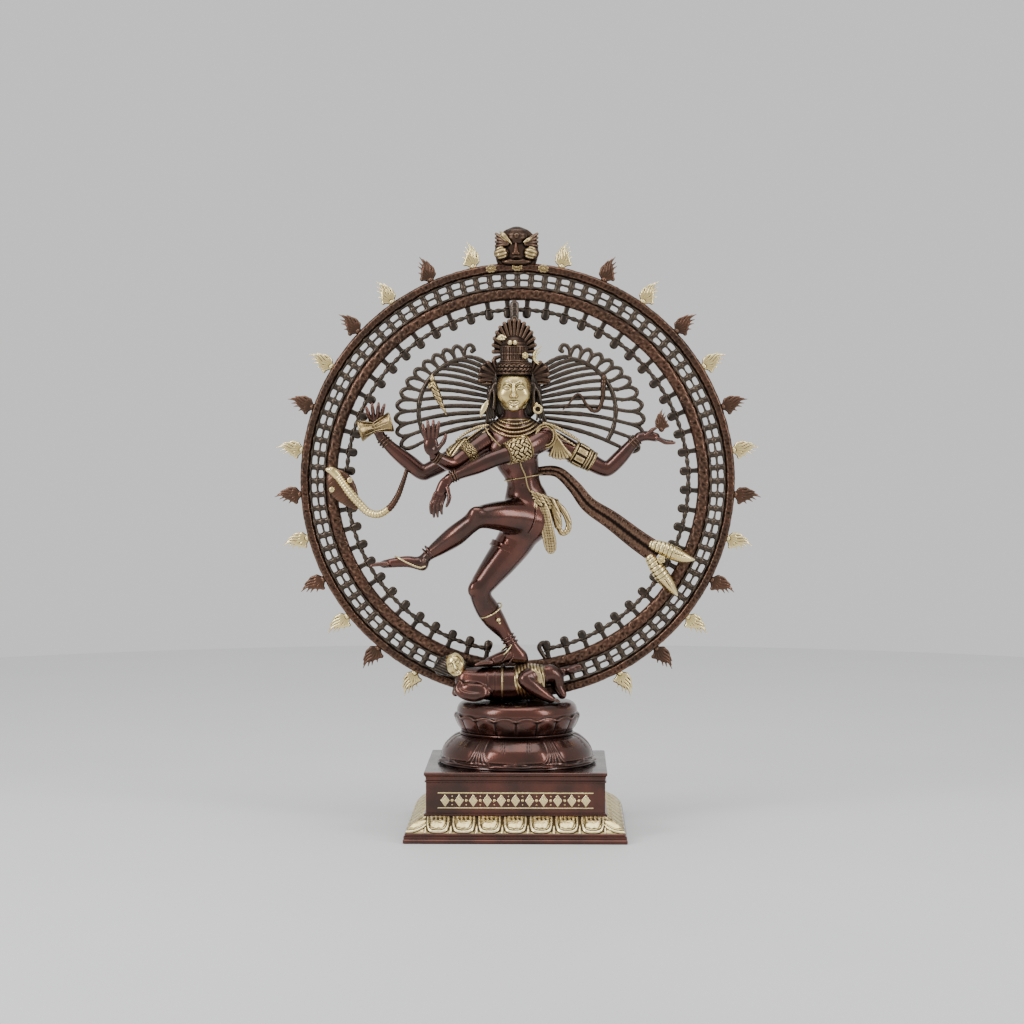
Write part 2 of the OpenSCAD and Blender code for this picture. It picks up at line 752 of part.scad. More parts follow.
// Knotted cloth on the hip, with its hanging end and a loop
module waist_cloth() {
    color(gilt) on_lotus() union() {
        chain([[24, -40, 500, 7], [40, -34, 496, 9], [54, -24, 490, 9]]);
        chain([[46, -32, 492, 8], [50, -34, 470, 9], [52, -34, 444, 9], [48, -34, 420, 7]]);
        chain([[54, -26, 488, 7], [66, -24, 470, 6], [72, -24, 452, 6], [64, -27, 446, 5], [56, -30, 454, 5]]);
        chain([[30, -38, 496, 6], [28, -42, 478, 6], [36, -42, 462, 4]]);
    }
}

// Flowing stole behind the figure: points [x, z, width]
stole_path = [
    [10, 530, 12], [36, 537, 14], [62, 537, 16], [86, 514, 19], [108, 486, 23], [142, 463, 28], [180, 434, 32], [214, 410, 36]
];

module stole() {
    color(rim) on_lotus() upright(1, 9) polygon(band_outline(smooth(stole_path, 3)));
}

module stole_heads() {
    color(gilt) on_lotus() union() {
        chain([[212, 1, 420, 10], [230, 0, 414, 11], [248, 0, 408, 9], [262, 0, 405, 4.5]]);
        chain([[234, 0, 420, 7], [246, 0, 420, 5], [258, 0, 414, 3]]);
        chain([[204, 1, 396, 10], [218, 0, 380, 11], [230, 0, 366, 9], [239, 0, 356, 4.5]]);
        chain([[228, 0, 384, 7], [238, 0, 374, 5], [243, 0, 362, 3]]);
    }
}

module arm_cobra() {
    color(gilt) on_lotus() union() {
        chain([
            [-164, 2, 546, 4], [-168, 1, 530, 4], [-173, 0, 515, 4.5], [-180, 0, 498, 5], [-194, 0, 481, 5.5],
            [-208, 0, 474, 6], [-223, 0, 475, 6.5], [-238, 0, 487, 8], [-251, 0, 503, 9.5],
            [-262, 0, 519, 10], [-272, 0, 532, 8], [-282, 0, 538, 4]
        ], 8);
        chain([[-262, 1, 488, 4], [-274, 1, 504, 7], [-276, 1, 522, 6]], 8);
    }
}

module shoulder_tassels() {
    color(gilt) on_lotus() union() {
        chain([[50, -24, 606, 6], [70, -20, 602, 6.5], [90, -12, 590, 4]]);
        chain([[50, -26, 584, 6], [58, -27, 570, 7], [66, -26, 558, 5]]);
        chain([[-50, -26, 604, 5], [-64, -22, 598, 6], [-82, -14, 588, 4]]);
        chain([[48, -36, 598, 4], [56, -36, 590, 4], [50, -38, 580, 4]]);
    }
}

// ---------- aureole ----------

module ring_turn(r, w, t) {
    on_ring() rotate([90, 0, 0]) rotate_extrude() translate([r - w / 2, 0]) polygon(oval(w, t));
}

module aureole_outer_rim() color(rim) ring_turn(ring_r, outer_rim_w, outer_rim_t);

module aureole_inner_rim() color(rim) ring_turn(inner_rim_r, inner_rim_w, inner_rim_t);

// Two rows of cells between a middle wire and the rims; the edges bed in the rims
bar_w = 7.4;
wire_w = 5.2;
edge_w = 2.2;

module lattice_cells(r0, r1) {
    half = 180 / bar_count;
    for (i = [0:bar_count - 1]) rotate(i * 2 * half) {
        polygon(concat(
            arc(r0, bar_w / r0 * 28.65 - half, half - bar_w / r0 * 28.65, 1),
            arc(r1, half - bar_w / r1 * 28.65, bar_w / r1 * 28.65 - half, 1)
        ));
    }
}

module aureole_lattice() {
    mid = (lattice_r + inner_rim_r) / 2;
    color(dark) on_ring() upright(0, lattice_t) offset(delta = 0.01) difference() {
        circle(r = lattice_r + 1, $fn = bar_count);
        circle(r = inner_rim_r - 1, $fn = bar_count);
        lattice_cells(inner_rim_r + edge_w, mid - wire_w / 2);
        lattice_cells(mid + wire_w / 2, lattice_r - edge_w);
    }
}

// One club shaped drop of the fringe, hanging from the rim at radius r
function drop_outline(r, l) = [
    [-3, r + 1], [-3, r - l * 0.45], [-5.2, r - l * 0.68], [-5.4, r - l * 0.83], [-3.4, r - l * 0.95],
    [0, r - l], [3.4, r - l * 0.95], [5.4, r - l * 0.83], [5.2, r - l * 0.68], [3, r - l * 0.45], [3, r + 1]
];

module aureole_fringe() {
    drops = 53;
    bead_r = fringe_r - fringe_w * 0.55;
    bead_w = 6;
    color(dark) on_ring() upright(0, fringe_t) offset(delta = 0.01) union() {
        polygon(concat(
            arc(bead_r + bead_w / 2, fringe_gap - 180, 180 - fringe_gap, 2 * drops),
            arc(bead_r - bead_w / 2, 180 - fringe_gap, fringe_gap - 180, 2 * drops)
        ));
        for (i = [0:drops]) rotate(mix(fringe_gap - 180, 180 - fringe_gap, i / drops)) {
            polygon(drop_outline(fringe_r, fringe_w));
        }
    }
}

// Flame of five tongues rising from a round boss
module flame() {
    upright(0, flame_t) translate([0, ring_r - flame_root]) offset(delta = 0.01) union() {
        translate([0, 5]) circle(r = 7, $fn = 20);
        translate([0, 5]) polygon(tongue(flame_h - 3, 12, 1.5));
        for (s = [-1, 1]) {
            translate([0, 6]) rotate(-16 * s) polygon(tongue(flame_h * 0.78, 10, 2.5 * s));
            translate([0, 6]) rotate(-34 * s) polygon(tongue(flame_h * 0.56, 8, 2 * s));
        }
    }
}

module flames(first) {
    for (k = [first:2:flame_count / 2], s = [-1, 1]) on_ring(s * k * flame_step) flame();
}

module flames_gilt() color(gilt) flames(1);

module flames_copper() color(rim) flames(2);

// Grinning mask at the top of the ring
module monster_mask() {
    z = ring_z + ring_r;
    color(gilt) translate([0, ring_y, z]) union() {
        chain([[0, 0, -4, 10], [0, 0, 20, 22], [0, 0, 38, 18], [0, 0, 52, 9]]);
        for (s = [-1, 1]) {
            chain([[10 * s, -14, 16, 8], [20 * s, -8, 12, 8], [30 * s, 0, 8, 6]]);
            chain([[10 * s, -16, 26, 6], [22 * s, -8, 32, 6], [32 * s, 0, 40, 4]]);
            chain([[24 * s, 2, 20, 9], [31 * s, 2, 26, 6]]);
        }
        chain([[0, -18, 22, 5], [0, -20, 12, 5], [0, -16, 4, 6]]);
    }
}

module rim_rosettes() {
    color(gilt) for (a = [-7, 0, 7]) on_ring(a) translate([0, -outer_rim_t / 2 + 1, ring_r - outer_rim_w / 2]) {
        upright(0, 5) polygon(flower_outline(7.2, 8));
    }
}

module aureole_tenons() {
    z0 = lotus_top - tenon_depth + 4;
    color(rim) tenon_places() translate([-tenon_w / 2, -tenon_t / 2, z0]) cube([tenon_w, tenon_t, tenon_depth + 6]);
}

plinth_foot();
plinth_petal_band();
plinth_petals();
plinth_box();
plinth_cornice();
ornament_band();
lotus_foot();
lotus_lower();
lotus_collar();
lotus_upper();
draw_bolts();
bolt_nuts();
demon_body();
demon_head();
demon_face();
demon_loincloth();
standing_leg();
raised_leg();
torso();
head();
face();
headdress();
feather_fan();
crest_stem();
crown_ornaments();
crescent_moon();
side_leaves();
ear_ornaments();
hair_fan_left();
hair_fan_right();
river_goddess();
hair_snake();
rear_right_arm();
drum();
front_right_arm();
front_left_arm();
rear_left_arm();
hand_flame();
armlets();
bracelets();
anklets();
necklaces();
waist_cord();
waist_cloth();
stole();
stole_heads();
arm_cobra();
shoulder_tassels();
aureole_outer_rim();
aureole_lattice();
aureole_inner_rim();
aureole_fringe();
flames_gilt();
flames_copper();
monster_mask();
rim_rosettes();
aureole_tenons();
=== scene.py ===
"""Brass nataraja statue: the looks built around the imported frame. Shapes are in mm and shown in metres."""
import math

import bpy
import numpy as np
import openvdb
from mathutils import Matrix, Vector


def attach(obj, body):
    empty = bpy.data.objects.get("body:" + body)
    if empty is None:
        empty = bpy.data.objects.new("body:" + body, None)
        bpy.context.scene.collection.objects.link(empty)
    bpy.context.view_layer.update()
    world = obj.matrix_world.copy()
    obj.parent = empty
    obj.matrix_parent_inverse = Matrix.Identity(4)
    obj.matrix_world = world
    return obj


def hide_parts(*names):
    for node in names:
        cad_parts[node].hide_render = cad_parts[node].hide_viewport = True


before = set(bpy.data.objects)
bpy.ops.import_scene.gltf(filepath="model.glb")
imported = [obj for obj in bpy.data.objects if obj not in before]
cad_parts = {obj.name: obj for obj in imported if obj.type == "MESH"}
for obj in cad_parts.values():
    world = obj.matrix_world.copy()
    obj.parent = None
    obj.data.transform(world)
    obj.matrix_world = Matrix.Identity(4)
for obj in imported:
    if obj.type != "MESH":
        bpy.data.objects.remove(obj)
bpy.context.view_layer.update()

MM = 0.001
RING_Y, RING_Z = 25, 521.4  # the ring's middle, and where its tenons stand in the lotus


# ---------- small maths ----------


def mix(a, b, t):
    return a + (b - a) * t


def unit(v):
    return v / np.linalg.norm(v)


def ramp(x, low, rub_glint_mask):
    """Smooth rise from 0 at low to 1 at high."""
    t = np.clip((x - low) / (rub_glint_mask - low), 0, 1)
    return t * t * (3 - 2 * t)


def bump(x, at, width):
    return np.exp(-(((x - at) / width) ** 2))


def smooth_path(points, n):
    """Rows of the smooth curve through points, n to a span."""
    p = np.array(points, float)
    p = np.vstack([2 * p[0] - p[1], p, 2 * p[-1] - p[-2]])
    t = np.linspace(0, 1, n, endpoint=False)[:, None]
    rows = []
    for a, b, c, d in zip(p, p[1:], p[2:], p[3:]):
        rows.append(
            0.5 * (2 * b + (c - a) * t + (2 * a - 5 * b + 4 * c - d) * t**2 + (3 * b - a - 3 * c + d) * t**3)
        )
    return np.vstack(rows + [p[-2:-1]])


def circle(n):
    """The angles of n even steps round a circle."""
    return np.linspace(0, 2 * math.pi, n, endpoint=False)


def squared(wave, power):
    """A sine or cosine with fuller shoulders, which makes a round section squarer."""
    return np.sign(wave) * np.abs(wave) ** power


def turn(axis, degrees):
    return Matrix.Rotation(math.radians(degrees), 4, axis)


def aimed(a, b, axis="Z"):
    """Matrix that stands an axis, +Z if none is named, along the line from a to b, at a."""
    a, b = Vector(a), Vector(b)
    return Matrix.Translation(a) @ (b - a).to_track_quat(axis, "Y").to_matrix().to_4x4()


FACING_FRONT = turn("X", 90)


# ---------- forms ----------


class Form:
    """Points in mm, the faces between them, and how hollow the surface is at each point."""

    PULL = 0.6  # how far a point goes to the middle of its neighbours in one round of relaxing

    def __init__(self, points, faces, hollow=None):
        self.points = np.asarray(points, float).reshape(-1, 3)
        self.faces = [np.asarray(f, np.int64) for f in faces if len(f)]
        self.hollow = np.zeros(len(self.points)) if hollow is None else hollow

    def turned(self, matrix):
        m = np.array(matrix)
        mirrored = np.linalg.det(m[:3, :3]) < 0
        faces = [f[:, ::-1] for f in self.faces] if mirrored else self.faces
        return Form(self.points @ m[:3, :3].T + m[:3, 3], faces, self.hollow)

    def moved(self, x=0, y=0, z=0):
        return Form(self.points + (x, y, z), self.faces, self.hollow)

    def relaxed(self, times):
        """The same form with its ripples smoothed out."""
        a = np.concatenate([f.ravel() for f in self.faces])
        b = np.concatenate([np.roll(f, -1, 1).ravel() for f in self.faces])
        a, b = np.concatenate([a, b]), np.concatenate([b, a])
        count = np.bincount(a, minlength=len(self.points))[:, None]
        points = self.points
        for _ in range(times):
            mean = np.stack([np.bincount(a, points[b, k], len(points)) for k in range(3)], 1) / count
            points = mix(points, mean, self.PULL)
        return Form(points, self.faces, self.hollow)

    def outward(self):
        """The same closed form with its faces looking out."""
        volume = 0
        for f in self.faces:
            corner = self.points[f]
            for k in range(1, f.shape[1] - 1):
                volume += np.einsum("ij,ij->", corner[:, 0], np.cross(corner[:, k], corner[:, k + 1]))
        return self if volume > 0 else Form(self.points, [f[:, ::-1] for f in self.faces], self.hollow)


def joined(forms):
    starts = np.cumsum([0] + [len(f.points) for f in forms])
    faces = [f + s for form, s in zip(forms, starts) for f in form.faces]
    return Form(np.vstack([f.points for f in forms]), faces, np.concatenate([f.hollow for f in forms]))


def sheet(grid, round_u=True, round_v=False):
    """A closed form over a grid of points; a way that isn't round ends in flat caps."""
    ids = np.arange(grid.shape[0] * grid.shape[1]).reshape(grid.shape[:2])
    next_u = np.roll(ids, -1, 0)
    quads = np.stack([ids, next_u, np.roll(next_u, -1, 1), np.roll(ids, -1, 1)], -1)
    quads = quads if round_u else quads[:-1]
    quads = quads if round_v else quads[:, :-1]
    faces = [quads.reshape(-1, 4)]
    if round_u and not round_v:
        faces += [ids[::-1, 0][None], ids[:, -1][None]]
    return Form(grid.reshape(-1, 3), faces).outward()


CAP_RINGS = 0.92, 0.5  # places of the two rings that round off a bar's end, in radii past it


def tube(rows, sides, depth=1.0, n=5, across=(0, 1, 0), closed=False):
    """A round bar along the smooth curve through rows of x, y, z, radius."""
    rows = smooth_path(rows, n) if n else np.array(rows, float)
    if not closed:
        ends = []
        for a, b in ((rows[0], rows[1]), (rows[-1], rows[-2])):
            way = unit(a[:3] - b[:3])
            ends.append([np.append(a[:3] + way * a[3] * k, a[3] * math.sqrt(1 - k * k)) for k in CAP_RINGS])
        rows = np.vstack([ends[0], rows, ends[1][::-1]])
    p, r = rows[:, :3], rows[:, 3]
    heading = np.roll(p, -1, 0) - np.roll(p, 1, 0)
    if not closed:
        heading[0], heading[-1] = p[1] - p[0], p[-1] - p[-2]
    heading /= np.linalg.norm(heading, axis=1)[:, None]
    side = np.cross(heading, across)
    side /= np.linalg.norm(side, axis=1)[:, None]
    up = np.cross(side, heading) * depth
    a = circle(sides)
    ring = np.cos(a)[:, None, None] * side + np.sin(a)[:, None, None] * up
    return sheet(p + ring * r[:, None], True, closed)


def hoop(radius, wire, n, sides, beads=0, squash=1.0):
    """A ring of wire about Z, beaded if asked."""
    a = circle(n)
    swell = wire * (0.45 + 0.55 * np.abs(np.sin(a * beads / 2)) ** 0.6) if beads else np.full(n, wire)
    rows = np.stack([radius * np.cos(a), radius * squash * np.sin(a), 0 * a, swell], 1)
    return tube(rows, sides, n=0, across=(0, 0, 1), closed=True)


def lathe(profile, n, squash=1.0, ripple=None):
    """A turned form about Z from rows of radius, z; ripple(angle, z) is added to the radius."""
    r, z = np.array(profile, float).T
    a = circle(n)[:, None]
    radius = np.broadcast_to(r, (n, len(r)))
    if ripple is not None:
        radius = radius + ripple(a, z[None])
    height = np.broadcast_to(z, radius.shape)
    return sheet(np.stack([radius * np.cos(a), squash * radius * np.sin(a), height], -1))


def dome(r, h):
    """A low round stud standing on Z = 0, with a small flat at its top."""
    t = np.linspace(0, math.pi / 2 - 0.08, 6)
    return lathe(np.stack([r * np.cos(t), h * np.sin(t)], 1), 16)


def bead(r, at):
    """A ball with a small flat at each end."""
    end = math.pi / 2 - 0.05
    t = np.linspace(-end, end, 9)
    return lathe(np.stack([r * np.cos(t), r * np.sin(t)], 1), 12).moved(*at)


# ---------- clay ----------


class Clay:
    """A field of distances in mm on a grid, which strokes are added to and cut from."""

    FAR = 1000.0  # the distance where nothing has been added yet
    REACH = 10.0  # how far round a stroke the field is worked out

    def __init__(self, low, rub_glint_mask, cell):
        self.low, self.cell = np.array(low, float), cell
        self.count = np.ceil((np.array(rub_glint_mask) - self.low) / cell).astype(int) + 1
        self.field = np.full(self.count, self.FAR, np.float32)

    def window(self, low, rub_glint_mask):
        """The part of the grid between two corners, with its coordinates."""
        first = np.clip(np.floor((np.array(low) - self.low) / self.cell).astype(int), 0, self.count)
        last = np.clip(np.ceil((np.array(rub_glint_mask) - self.low) / self.cell).astype(int) + 1, 0, self.count)
        axes = [(self.low[k] + self.cell * np.arange(first[k], last[k])).astype(np.float32) for k in range(3)]
        part = tuple(slice(a, b) for a, b in zip(first, last))
        return self.field[part], axes[0][:, None, None], axes[1][None, :, None], axes[2][None, None, :]

    def merge(self, field, d, blend, carve):
        """Joins distance d to the field, or cuts it away, with a soft join about blend wide."""
        way = -1 if carve else 1
        soft = np.maximum(blend - np.abs(field - way * d), 0) ** 2 / (4 * blend) if blend else 0
        field[:] = way * (np.minimum(way * field, d) - soft)

    def limb(self, rows, blend=2.0, n=4, depth=1.0, carve=False):
        """A round bar along the smooth curve through rows of x, y, z, radius; depth flattens it along Y."""
        rows = smooth_path(rows, n) if n else np.array(rows, float)
        pad = rows[:, 3].max() + self.REACH
        field, x, y, z = self.window(rows[:, :3].min(0) - pad, rows[:, :3].max(0) + pad)
        if not field.size:
            return
        own = np.full(field.shape, self.FAR, np.float32)
        for a, b in zip(rows, rows[1:]):
            ab = b[:3] - a[:3]
            t = np.clip(
                ((x - a[0]) * ab[0] + (y - a[1]) * ab[1] + (z - a[2]) * ab[2]) / (ab @ ab + 1e-9), 0, 1
            )
            dx, dy, dz = x - a[0] - ab[0] * t, (y - a[1] - ab[1] * t) / depth, z - a[2] - ab[2] * t
            np.minimum(own, np.sqrt(dx * dx + dy * dy + dz * dz) - mix(a[3], b[3], t), out=own)
        self.merge(field, own, blend, carve)

    def lump(self, centre, radii, blend=2.0, lean=0.0, carve=False):
        """An ellipsoid, leaning about Y by some degrees."""
        c, r = np.array(centre, float), np.array(radii, float)
        pad = r.max() + self.REACH
        field, x, y, z = self.window(c - pad, c + pad)
        if not field.size:
            return
        cosine, sine = math.cos(math.radians(lean)), math.sin(math.radians(lean))
        u = ((x - c[0]) * cosine - (z - c[2]) * sine) / r[0]
        v = (y - c[1]) / r[1]
        w = ((x - c[0]) * sine + (z - c[2]) * cosine) / r[2]
        k0 = np.sqrt(u * u + v * v + w * w)
        k1 = np.sqrt((u / r[0]) ** 2 + (v / r[1]) ** 2 + (w / r[2]) ** 2) + 1e-6
        self.merge(field, k0 * (k0 - 1) / k1, blend, carve)

    def dent(self, depth):
        """Pushes the surface in by depth(x, y, z) in mm; a negative depth raises it."""
        field, x, y, z = self.window(self.low, self.low + self.count * self.cell)
        field += depth(x, y, z).astype(np.float32)

    def form(self, relax=2):
        """The surface of the clay, with its ripples smoothed relax times."""
        far = 3 * self.cell
        field = np.clip(self.field, -far, far)
        for edge in ((0,), (-1,)):
            field[edge], field[:, edge], field[:, :, edge] = far, far, far
        grid = openvdb.FloatGrid(far)
        grid.copyFromArray(field)
        points, triangles, quads = grid.convertToPolygons(0.0, 0.0)
        hollow = -self.sampled(field, points) / self.cell
        return Form(self.low + points * self.cell, [quads, triangles], hollow).relaxed(relax).outward()

    @staticmethod
    def sampled(field, points):
        """The field, blurred over a few cells, at each point: below 0 in a hollow."""
        for axis in (0, 1, 2) * 2:
            field = (np.roll(field, 1, axis) + field + np.roll(field, -1, axis)) / 3
        base = np.clip(np.floor(points).astype(int), 0, np.array(field.shape) - 2)
        t = points - base
        out = np.zeros(len(points))
        for i in (0, 1):
            for j in (0, 1):
                for k in (0, 1):
                    share = np.prod(np.where((i, j, k), t, 1 - t), 1)
                    out += share * field[base[:, 0] + i, base[:, 1] + j, base[:, 2] + k]
        return out


# ---------- metals ----------


class Nodes:
    """Short names for the nodes of one material."""

    def __init__(self, name):
        self.material = bpy.data.materials.new(name)
        self.material.use_nodes = True
        self.tree = self.material.node_tree
        self.shader = self.tree.nodes["Principled BSDF"]

    def add(self, kind, inputs=None, **settings):
        node = self.tree.nodes.new(kind)
        for key, value in settings.items():
            setattr(node, key, value)
        for key, value in (inputs or {}).items():
            if isinstance(value, bpy.types.NodeSocket):
                self.tree.links.new(value, node.inputs[key])
            else:
                node.inputs[key].default_value = value
        return node

    def maths(self, operation, a, b):
        return self.add("ShaderNodeMath", {0: a, 1: b}, operation=operation, use_clamp=True).outputs[0]

    def spread(self, value, low, rub_glint_mask, a=0.0, b=1.0):
        inputs = {"Value": value, "From Min": low, "From Max": rub_glint_mask, "To Min": a, "To Max": b}
        return self.add("ShaderNodeMapRange", inputs).outputs["Result"]

    def blend(self, factor, a, b):
        return self.add("ShaderNodeMix", {0: factor, 6: a, 7: b}, data_type="RGBA").outputs[2]

    def noise(self, place, scale, detail=3.0):
        inputs = {"Vector": place, "Scale": scale, "Detail": detail}
        return self.add("ShaderNodeTexNoise", inputs).outputs["Fac"]


DRIFT_SCALE, SPECK_SCALE = 28.0, 420.0  # patches of tone and cast grain, in noise cells to a metre
SHADE_REACH = 0.006
GRAIN_STRENGTH, GRAIN_DEPTH = 0.12, 0.0012
COAT_ROUGHNESS = 0.12


def metal(name, base, tint, recess_shade, rub_and_glint, rough, hollow_gain=1.0, coat=0.0, wear_and_glint=0.5):
    """Old cast metal: its tone drifts from base to tint, with painted shade in its hollows and occluded
    spots, and high spots lightened as rubbed wear with a painted highlight.
    """
    n = Nodes(name)
    place = n.add("ShaderNodeTexCoord").outputs["Object"]
    drift = n.spread(n.noise(place, DRIFT_SCALE), 0.35, 0.68)
    speck = n.noise(place, SPECK_SCALE, 4.0)
    hollow = n.add("ShaderNodeAttribute", attribute_name="hollow").outputs["Fac"]
    # Painted shade: ambient occlusion and the hollow attribute darken the colour towards the recess colour,
    # and roughen it.
    sky = n.add("ShaderNodeAmbientOcclusion", {"Distance": SHADE_REACH}, samples=4, only_local=False)
    shade = n.spread(sky.outputs["AO"], 0.75, 0.25)
    deep = n.spread(hollow, 0.04, 0.35 / hollow_gain)
    painted_shade = n.maths("MAXIMUM", shade, deep)
    painted_shade = n.maths("MULTIPLY", painted_shade, n.spread(speck, 0.2, 0.45, 0.75, 1.0))
    # Painted highlight and rubbed wear: sharp edges and ridges are lightened towards the rub colour, scaled
    # by the wear amount.
    edge = n.add("ShaderNodeNewGeometry").outputs["Pointiness"]
    rub_glint_mask = n.maths("MAXIMUM", n.spread(edge, 0.52, 0.62), n.spread(hollow, -0.05, -0.4 / hollow_gain))
    rub_glint_mask = n.maths("MULTIPLY", rub_glint_mask, n.spread(speck, 0.35, 0.6, 0.3, 1.0))
    rub_glint_mask = n.maths("MULTIPLY", rub_glint_mask, wear_and_glint)
    colour = n.blend(drift, (*base, 1), (*tint, 1))
    colour = n.blend(rub_glint_mask, colour, (*rub_and_glint, 1))
    colour = n.blend(painted_shade, colour, (*recess_shade, 1))
    n.tree.links.new(colour, n.shader.inputs["Base Color"])
    gloss = n.spread(drift, 0.0, 1.0, rough * 0.85, rough * 1.2)
    gloss = n.maths("ADD", gloss, n.spread(painted_shade, 0.0, 1.0, 0.0, 0.3))
    n.tree.links.new(gloss, n.shader.inputs["Roughness"])
    relief = n.add("ShaderNodeBump", {"Height": speck, "Strength": GRAIN_STRENGTH, "Distance": GRAIN_DEPTH})
    n.tree.links.new(relief.outputs[0], n.shader.inputs["Normal"])
    n.shader.inputs["Metallic"].default_value = 1.0
    n.shader.inputs["Coat Weight"].default_value = coat
    n.shader.inputs["Coat Roughness"].default_value = COAT_ROUGHNESS
    return n.material


# Each metal's recess colour is painted shade for its hollows; its rub colour lightens edges as rubbed wear
# and painted highlight.
COPPER = metal(
    "copper_bronze", base=(0.108, 0.037, 0.026), tint=(0.05, 0.025, 0.02), recess_shade=(0.014, 0.009, 0.008),
    rub_and_glint=(0.34, 0.19, 0.14), rough=0.26, coat=0.5, wear_and_glint=0.35
)
GILT = metal(
    "gilt_brass", base=(0.8, 0.63, 0.28), tint=(0.62, 0.48, 0.22), recess_shade=(0.05, 0.034, 0.018),
    rub_and_glint=(1.0, 0.87, 0.55), rough=0.24, hollow_gain=1.8, wear_and_glint=0.8
)
OLD_GILT = metal(
    "antique_gilt", base=(0.36, 0.26, 0.12), tint=(0.24, 0.17, 0.085), recess_shade=(0.028, 0.018, 0.012),
    rub_and_glint=(0.72, 0.56, 0.3), rough=0.3, hollow_gain=2.2, wear_and_glint=0.85
)
DARK = metal(
    "dark_bronze", base=(0.05, 0.036, 0.028), tint=(0.032, 0.026, 0.022), recess_shade=(0.011, 0.009, 0.008),
    rub_and_glint=(0.22, 0.16, 0.11), rough=0.34, coat=0.2
)
RIM = metal(
    "rim_bronze", base=(0.12, 0.062, 0.042), tint=(0.062, 0.039, 0.029), recess_shade=(0.016, 0.011, 0.009),
    rub_and_glint=(0.3, 0.18, 0.12), rough=0.32
)
BARK = metal(
    "crown_bronze", base=(0.075, 0.045, 0.032), tint=(0.045, 0.03, 0.024), recess_shade=(0.012, 0.009, 0.008),
    rub_and_glint=(0.27, 0.17, 0.11), rough=0.34, hollow_gain=1.4, wear_and_glint=0.6
)
STEEL = metal(
    "brushed_steel", base=(0.5, 0.5, 0.49), tint=(0.38, 0.38, 0.37), recess_shade=(0.08, 0.07, 0.06),
    rub_and_glint=(0.8, 0.8, 0.78), rough=0.34
)


def add_piece(name, forms, material, *nodes, body="base", crease=None):
    """Makes a form into a piece that rides on a body and stands for the named CAD nodes."""
    form = joined(forms) if isinstance(forms, list) else forms
    mesh = bpy.data.meshes.new(name)
    corners = np.concatenate([f.ravel() for f in form.faces])
    sizes = np.concatenate([np.full(len(f), f.shape[1]) for f in form.faces])
    mesh.vertices.add(len(form.points))
    mesh.vertices.foreach_set("co", (form.points * MM).astype(np.float32).ravel())
    mesh.loops.add(len(corners))
    mesh.loops.foreach_set("vertex_index", corners.astype(np.int32))
    mesh.polygons.add(len(sizes))
    mesh.polygons.foreach_set("loop_start", np.concatenate([[0], np.cumsum(sizes)[:-1]]).astype(np.int32))
    mesh.polygons.foreach_set("use_smooth", np.ones(len(sizes), bool))
    mesh.update(calc_edges=True)
    hollow = mesh.attributes.new("hollow", "FLOAT", "POINT")
    hollow.data.foreach_set("value", form.hollow.astype(np.float32))
    if crease:
        mesh.set_sharp_from_angle(angle=math.radians(crease))
    mesh.materials.append(material)
    piece = bpy.data.objects.new(name, mesh)
    bpy.context.scene.collection.objects.link(piece)
    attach(piece, body)
    if nodes:
        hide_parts(*nodes)
    return piece


def keep_solid(node, material):
    """Leaves a CAD node showing, in a better metal."""
    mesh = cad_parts[node].data
    for k in range(len(mesh.materials)):
        mesh.materials[k] = material


# ---------- relief on sheets ----------


def softened(h, times):
    """The heights h blurred over their neighbours; the first way is round."""
    for axis in (0, 1) * times:
        p = np.pad(h, [(1, 1) if k == axis else (0, 0) for k in (0, 1)], "edge" if axis else "wrap")
        h = (
            np.take(p, range(0, h.shape[axis]), axis) + h + np.take(p, range(2, h.shape[axis] + 2), axis)
        ) / 3
    return h


def embossed(grid, out, height, round_v=False, times=6):
    """A closed sheet raised by height along out, which knows where it is hollow."""
    form = sheet(grid + out * height[..., None], True, round_v)
    form.hollow = np.clip((softened(height, times) - height) * 1.2, -1, 1).ravel()
    return form


def grain(seed, shape, times):
    """Even lumpiness from -1 to 1 that is the same every time."""
    h = softened(np.random.default_rng(seed).standard_normal(shape), times)
    return np.clip(h / (2.2 * h.std()), -1, 1)


# ---------- plinth ----------

BOX_X, BOX_Y = 131, 122  # half sizes of the plinth's box
CORNER = 1.2  # radius of its upright edges
BAND_Z, BAND_H, BAND_RUN = 15, 21, 26.7  # foot, height and slope of the petal band
BAND_OUT, BAND_BEND = 28.2, 1.35  # its foot past the box, and how its slope bends
PETALS = 7
PETAL_PITCH, PETAL_HALF, CORNER_HALF = 37.4, 16.4, 21


def box_rings(outsets, heights, along=44):
    """Rings round the plinth's box, pushed out from it: places by rows by x, y, z."""
    o = np.array(outsets, float)
    corners = []
    for sx, sy, start in ((1, -1, -90), (1, 1, 0), (-1, 1, 90), (-1, -1, 180)):
        a = np.radians(start + np.linspace(0, 90, 4))[None]
        x = sx * (BOX_X + o - CORNER)[:, None] + CORNER * np.cos(a)
        y = sy * (BOX_Y + o - CORNER)[:, None] + CORNER * np.sin(a)
        corners.append(np.stack([x, y], -1))
    t = np.linspace(0, 1, along, endpoint=False)[1:, None]
    flat = []
    for here, after in zip(corners, corners[1:] + corners[:1]):
        flat += [here, mix(here[:, -1:], after[:, :1], t)]
    flat = np.concatenate(flat, 1)
    z = np.broadcast_to(np.array(heights, float)[:, None, None], flat.shape[:2] + (1,))
    return np.concatenate([flat, z], -1).swapaxes(0, 1)


def close_rows(profile, step):
    """The profile with points added, so that no two are further apart than step."""
    p = np.array(profile, float)
    rows = [p[:1]]
    for a, b in zip(p, p[1:]):
        n = max(1, math.ceil(np.linalg.norm(b - a) / step))
        rows.append(mix(a, b, np.arange(1, n + 1)[:, None] / n))
    return np.vstack(rows)


def moulding(profile, hollow=True):
    o, z = close_rows(profile, 1.3).T
    return sheet(box_rings(o, z), True, hollow)


